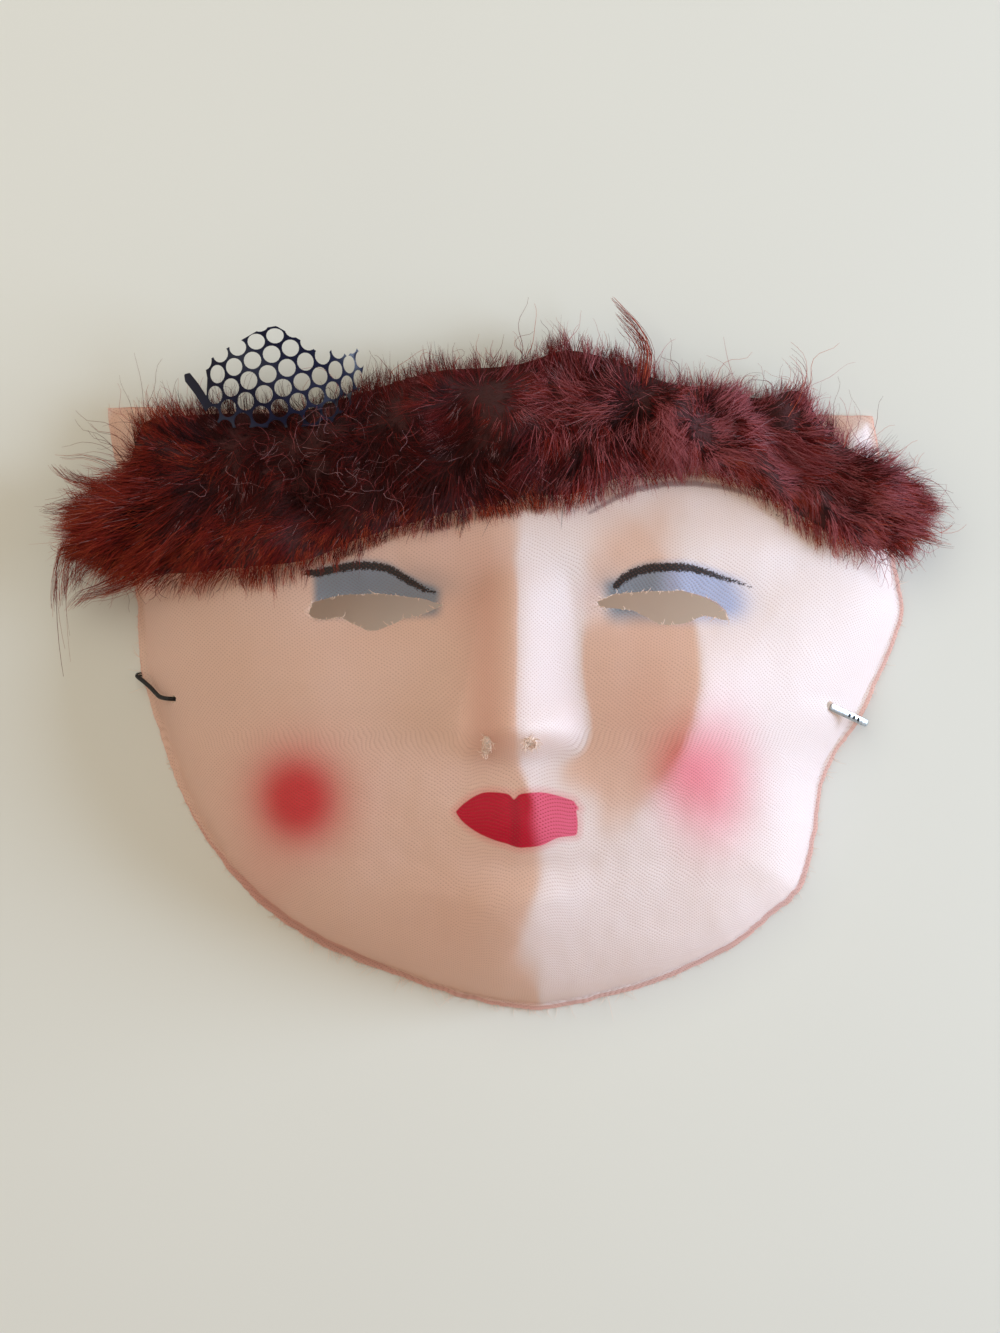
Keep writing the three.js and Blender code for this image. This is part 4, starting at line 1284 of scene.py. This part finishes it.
tuft = pile_paths(tuft_x, tuft_y, pile_way(tuft_x, tuft_y, still), length, lift * 1.3,
                  0.22 * np.cos(tuft_turn * 4.3), tuft_turn * 6.1)
# Towards its tip each hair is drawn into its lock, and its lock into the tuft
draw = ALONG_HAIR[None, :, None] ** 1.2
to_lock = dice.uniform(0.3, 0.62, (len(x), 1, 1)) * draw
to_tuft = dice.uniform(0.0, 0.42, (len(x), 1, 1)) * draw
paths = own * (1 - to_lock - to_tuft) + lock * to_lock + tuft * to_tuft

# Tints by place: dark in the middle of the strip, rust at its left end, plum at its right
FOOT_SHADE, EMBER, AUBURN, WINE, RUSSET, RUST, PLUM, SMOKE_HIGHLIGHT = range(len(FUR_TINTS))
chance = dice.uniform(0, 1, (3, len(x)))
of_lock = np.mod(lock_turn[None] * np.array([[1.7], [3.1], [4.7]]), 1.0)
chance = np.where(dice.uniform(0, 1, (3, len(x))) < 0.55, of_lock, chance)
depth = ripple(x, y, 0.5, 20, 61) + ripple(x, y, 0.3, 8, 62)
dark = 1.2 * bell(x + 25, 40) * bell(y - 46, 13) + 0.4 * depth - 0.3 * smooth(np.abs(t), 0.5, 1)
dark = np.maximum(dark, 1.2 * bell(x + 50, 19) * bell(y - 55, 8))
left_end, right_side = smooth(-x, 30, 80), smooth(x + 0.6 * (y - 50), -10, 55)
shaft = np.where(chance[0] < 0.6, AUBURN, WINE)
shaft = np.where(chance[1] < 0.5 * left_end, RUSSET, shaft)
shaft = np.where(chance[0] < dark * 1.3 + 0.14, EMBER, shaft)
shaft = np.where((chance[1] < 0.45 * right_side - 0.25 * depth) & (chance[0] > dark), PLUM, shaft)
upper = np.where(chance[1] < 0.5, shaft, WINE)
upper = np.where(chance[2] < 0.8 * left_end + 0.15, RUSSET, upper)
upper = np.where(chance[2] > 1 - 0.5 * right_side, PLUM, upper)
upper = np.where(chance[0] < dark * 1.15, np.where(chance[2] < 0.5, EMBER, AUBURN), upper)
tip = np.where((chance[1] < 0.35 * left_end) & (dark < 0.4), RUST, upper)
# Smoke tips are painted highlights
tip = np.where((chance[2] > 0.93) & (np.abs(t) < 0.8), SMOKE_HIGHLIGHT, tip)
tip = np.where((chance[1] > 0.84) & (dark < 0.5), np.where(x < -20, RUST, PLUM), tip)
tip = np.where((t < -0.5) & (chance[1] < 0.45), RUST, tip)
shades = np.stack([np.full(len(x), FOOT_SHADE), shaft, upper, tip], axis=1)

HAIR_RADII = np.array([0.06, 0.062, 0.054, 0.04, 0.013])  # from foot to tip
pieces = np.array_split(np.argsort(x), math.ceil(len(x) / PIECE_HAIRS))
for k, part in enumerate(pieces):
    radii = np.repeat(HAIR_RADII[None], len(part), axis=0)
    radii *= dice.uniform(0.75, 1.15, (len(part), 1))
    pile = strands(f"fur_pile_{k + 1}", paths[part], radii, fur_materials, shades[part])
    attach(pile, "root")

LOOSE_POINTS = 9


def loose_hairs(place, angle, length, turn, rise, dice):
    """Long thin hairs that leave the pile at place and curve in the air, down towards the table."""
    along = np.linspace(0, 1, LOOSE_POINTS)
    heading = (angle[:, None] + turn[:, None] * along
               + dice.normal(0, 0.5, (len(angle), 1)) * np.sin(along * 7))
    step = length[:, None] / (LOOSE_POINTS - 1)
    x, y = (
        start + np.insert(np.cumsum(part * step, axis=1)[:, :-1], 0, 0, axis=1)
        for start, part in ((place[:, :1], np.cos(heading)), (place[:, 1:], np.sin(heading)))
    )
    foot = underfur_top(place[:, 0], place[:, 1])[:, None]
    height = foot * (1 - 0.5 * along) + rise * np.sin(along * 2.4)
    return np.stack([x, y, height], axis=2)


# Stray hairs past the outline, and curly pale ones over the dark middle, painted pale as highlights
STRAYS, CURLS = 420, 130
dice = np.random.default_rng(71)
at = dice.integers(0, len(FUR_OUTLINE), STRAYS)
place = FUR_OUTLINE[at] * 0.985 + dice.normal(0, 0.8, (STRAYS, 2))
out = place - np.column_stack([np.clip(place[:, 0], -78, 78), np.full(STRAYS, 46)])
angle = np.arctan2(out[:, 1], out[:, 0]) + dice.normal(0, 0.55, STRAYS)
length = dice.gamma(2.2, 2.4, STRAYS) + 2.5 + 3 * smooth(np.abs(place[:, 0]), 70, 95)
length = np.where(place[:, 1] < 46, np.minimum(length, 7), np.minimum(length, 15))
length = np.where((np.abs(place[:, 0]) < 84) & (place[:, 1] < 46), length * 0.7, length)
strays = loose_hairs(place, angle, length, dice.normal(0, 0.9, STRAYS), rise=2.0, dice=dice)
place = np.stack([dice.normal(-38, 16, CURLS), dice.normal(50, 7, CURLS)], axis=1)
place = place[np.abs(across_strip(place[:, 0], place[:, 1])) < 0.85]
count = len(place)
curls = loose_hairs(place, dice.uniform(0, 2 * math.pi, count), dice.uniform(4, 10, count),
                    dice.normal(0, 1.5, count), rise=1.2, dice=dice)
curls[:, :, 2] = (underfur_top(curls[:, :, 0], curls[:, :, 1])
                  + 2.2 + dice.uniform(0, 1.6, (count, 1)) * np.linspace(0.6, 1, LOOSE_POINTS))

# Wisps: how many hairs, how wide at the root, and the middle line of each
WISPS = [
    (46, 0.95, [(32.1, 66), (33.2, 73.6), (31, 79.3), (27.7, 83.2), (25.5, 85.7)]),
    (80, 1.9, [(-84, 33), (-92, 31.5), (-97.5, 27.5), (-100, 21), (-100.6, 14.5)]),
    (50, 1.6, [(-82, 29), (-89, 27), (-94.5, 24), (-97.5, 20.5), (-99, 17.5)]),
    (44, 1.7, [(-84, 38), (-92, 38.5), (-97, 38), (-101, 37), (-104, 37.5)]),
    (50, 1.2, [(-82, 41), (-90, 42.5), (-95, 43.5), (-99.5, 45), (-102, 47.5)]),
    (5, 1.5, [(-92, 33), (-99.5, 27), (-100.5, 16), (-100, 5), (-99, -3)]),
    (6, 2.0, [(-86, 44), (-91, 48), (-97, 50), (-101, 50), (-104, 50.5)]),
    (6, 2.0, [(-84, 48), (-88, 53), (-92, 56), (-96, 57), (-98.5, 60)]),
    (40, 1.2, [(-80, 22), (-86, 19.5), (-91, 17.8), (-95, 17), (-98, 14.5)]),
    (30, 1.2, [(84, 38), (90, 38), (95, 37), (99, 36.5), (101, 38)]),
    (26, 1.2, [(84, 33), (90, 32.5), (95, 31), (99, 29.5), (102, 29)]),
    (5, 2.0, [(88, 34), (95, 32), (100, 30), (104, 31), (106, 33)]),
    (9, 1.6, [(66, 60), (69, 65), (70, 69), (69, 73), (66, 76)]),
]
wisps = []
for hairs, width, middle in WISPS:
    line = spline(middle, steps=LOOSE_POINTS - 1)
    spread = np.linspace(1.0, 0.32, len(line))[None, :, None]
    flat = line[None] + dice.normal(0, width, (hairs, 1, 2)) * spread
    flat = flat[:, :1] + (flat - flat[:, :1]) * dice.uniform(0.62, 1.0, (hairs, 1, 1))
    root = underfur_top(line[:1, 0], line[:1, 1])[0]
    height = root * np.linspace(1, 0.7, len(line)) + dice.uniform(0, 1.8, (hairs, 1))
    wisps.append(np.concatenate([flat, height[:, :, None]], axis=2))
wisps = np.concatenate(wisps)
paths = np.concatenate([strays, curls, wisps])
tint = np.concatenate([
    dice.choice([AUBURN, WINE, RUST, PLUM], STRAYS),
    dice.choice([SMOKE_HIGHLIGHT, PLUM, RUSSET, WINE], count),
    dice.choice([AUBURN, WINE, RUSSET, RUST], len(wisps)),
])
tint = np.repeat(tint[:, None], LOOSE_POINTS - 1, axis=1)
radii = np.linspace(0.07, 0.028, LOOSE_POINTS)[None] * dice.uniform(0.7, 1.15, (len(paths), 1))
radii[STRAYS:STRAYS + count] *= 0.58
loose = strands("fur_loose_hairs", paths, radii, fur_materials, tint)
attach(loose, "root")


# Punched net
# A torn scrap of stiff navy plastic sheet, punched with rows of round holes. It is caught in the
# fur at the left, and curls up out of it past the edge of the forehead.
NET_THICKNESS, NET_PITCH, NET_RADIUS = 0.36, 4.5, 1.97  # sheet, and its holes' spacing and radius
NET_TURN = 0.32  # radians that its rows of holes are turned by
NET_CURL = 23.0  # radius that the scrap is curled to, across its width
NET_ORIGIN = (-51.6, 67.0)
NET_MESH = 0.6  # mm between its inner vertices
NET_OUTLINE = np.array([
    (-62, 55.5), (-66.2, 59.5), (-68.4, 63), (-70.9, 66.2), (-71.1, 67.7), (-69.6, 67.9),
    (-67.6, 65.4), (-65.8, 62.6), (-65.4, 66.5), (-66, 70.6), (-64.7, 70.2), (-62.6, 71.6),
    (-58.1, 74), (-52.8, 76.7), (-49.4, 77.2), (-43.7, 74), (-38.9, 70.8), (-36.5, 73.8),
    (-34.1, 71.2), (-32.3, 73.6), (-30.5, 71), (-32, 62), (-38, 55.5),
])


def fur_top(x, y):
    """Height of the pile as the solid has it, which the scrap lies in."""
    swell = strip_swell(x, y)
    depth = FUR_EDGE + (ridge_line(FUR_DEPTH, x) - FUR_EDGE) * swell
    on_strip = np.abs(across_strip(x, y)) < 1
    return np.where(on_strip, under_fur(x, y) + depth + tufts(x, y) * swell, 0)


def net_height(x, y):
    """The scrap leans out of the fur past the forehead edge, bowed across its width."""
    slant = 15 + 0.25 * (y - 60)
    across = np.clip((x - NET_ORIGIN[0]) / NET_CURL, -0.95, 0.95)
    curl = -0.55 * NET_CURL * (1 - np.sqrt(1 - across**2))
    return np.maximum(slant + curl + 0.5 * np.sin(y / 2.6 + x / 5), fur_top(x, y) * 0.86)


net_plastic, tree, shader = node_material("net_plastic")
scuff = noise(tree, object_place(tree), 700.0, 3.0)
colour_between(tree, shader, scuff, srgb(3, 6, 28), srgb(10, 17, 50))
roughness_between(tree, shader, scuff, 0.25, 0.55)
shader.inputs["Specular IOR Level"].default_value = 0.25


def as_curled(places):
    """Places on the flat sheet, moved to where the curled one shows them from above."""
    u, v = places[:, 0] - NET_ORIGIN[0], places[:, 1] - NET_ORIGIN[1]
    v = np.where(v > 0, 14 * np.sin(np.minimum(v, 18) / 14), v)
    return np.column_stack([NET_ORIGIN[0] + NET_CURL * np.sin(np.clip(u, -32, 32) / NET_CURL),
                            NET_ORIGIN[1] + v])


net_outline = evenly(NET_OUTLINE, pitch=0.45)
punched = []
for i in range(-8, 9):
    for j in range(-8, 9):
        along, over = (i + j / 2) * NET_PITCH, j * NET_PITCH * math.sqrt(0.75)
        centre = (NET_ORIGIN[0] + along * math.cos(NET_TURN) - over * math.sin(NET_TURN),
                  NET_ORIGIN[1] + along * math.sin(NET_TURN) + over * math.cos(NET_TURN))
        if -16 < centre[0] - NET_ORIGIN[0] < 30 and centre[1] - NET_ORIGIN[1] < 17:
            punched.append(as_curled(ellipse(centre, (NET_RADIUS, NET_RADIUS), sides=18)))
between = hex_points(NET_OUTLINE.min(axis=0), NET_OUTLINE.max(axis=0), NET_MESH)
between = clear_of_edges(between, net_outline, punched, gap=0.2)
flat, triangles = cut_sheet(net_outline, punched, between)
bottom = np.column_stack([flat, net_height(flat[:, 0], flat[:, 1])])
top = bottom + np.array([0, 0, NET_THICKNESS])
bottom = np.column_stack([flat, net_height(flat[:, 0], flat[:, 1])])
net = two_sided("net_scrap_torn", top, bottom, triangles, [net_plastic])
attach(net, "root")
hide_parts("net_scrap")
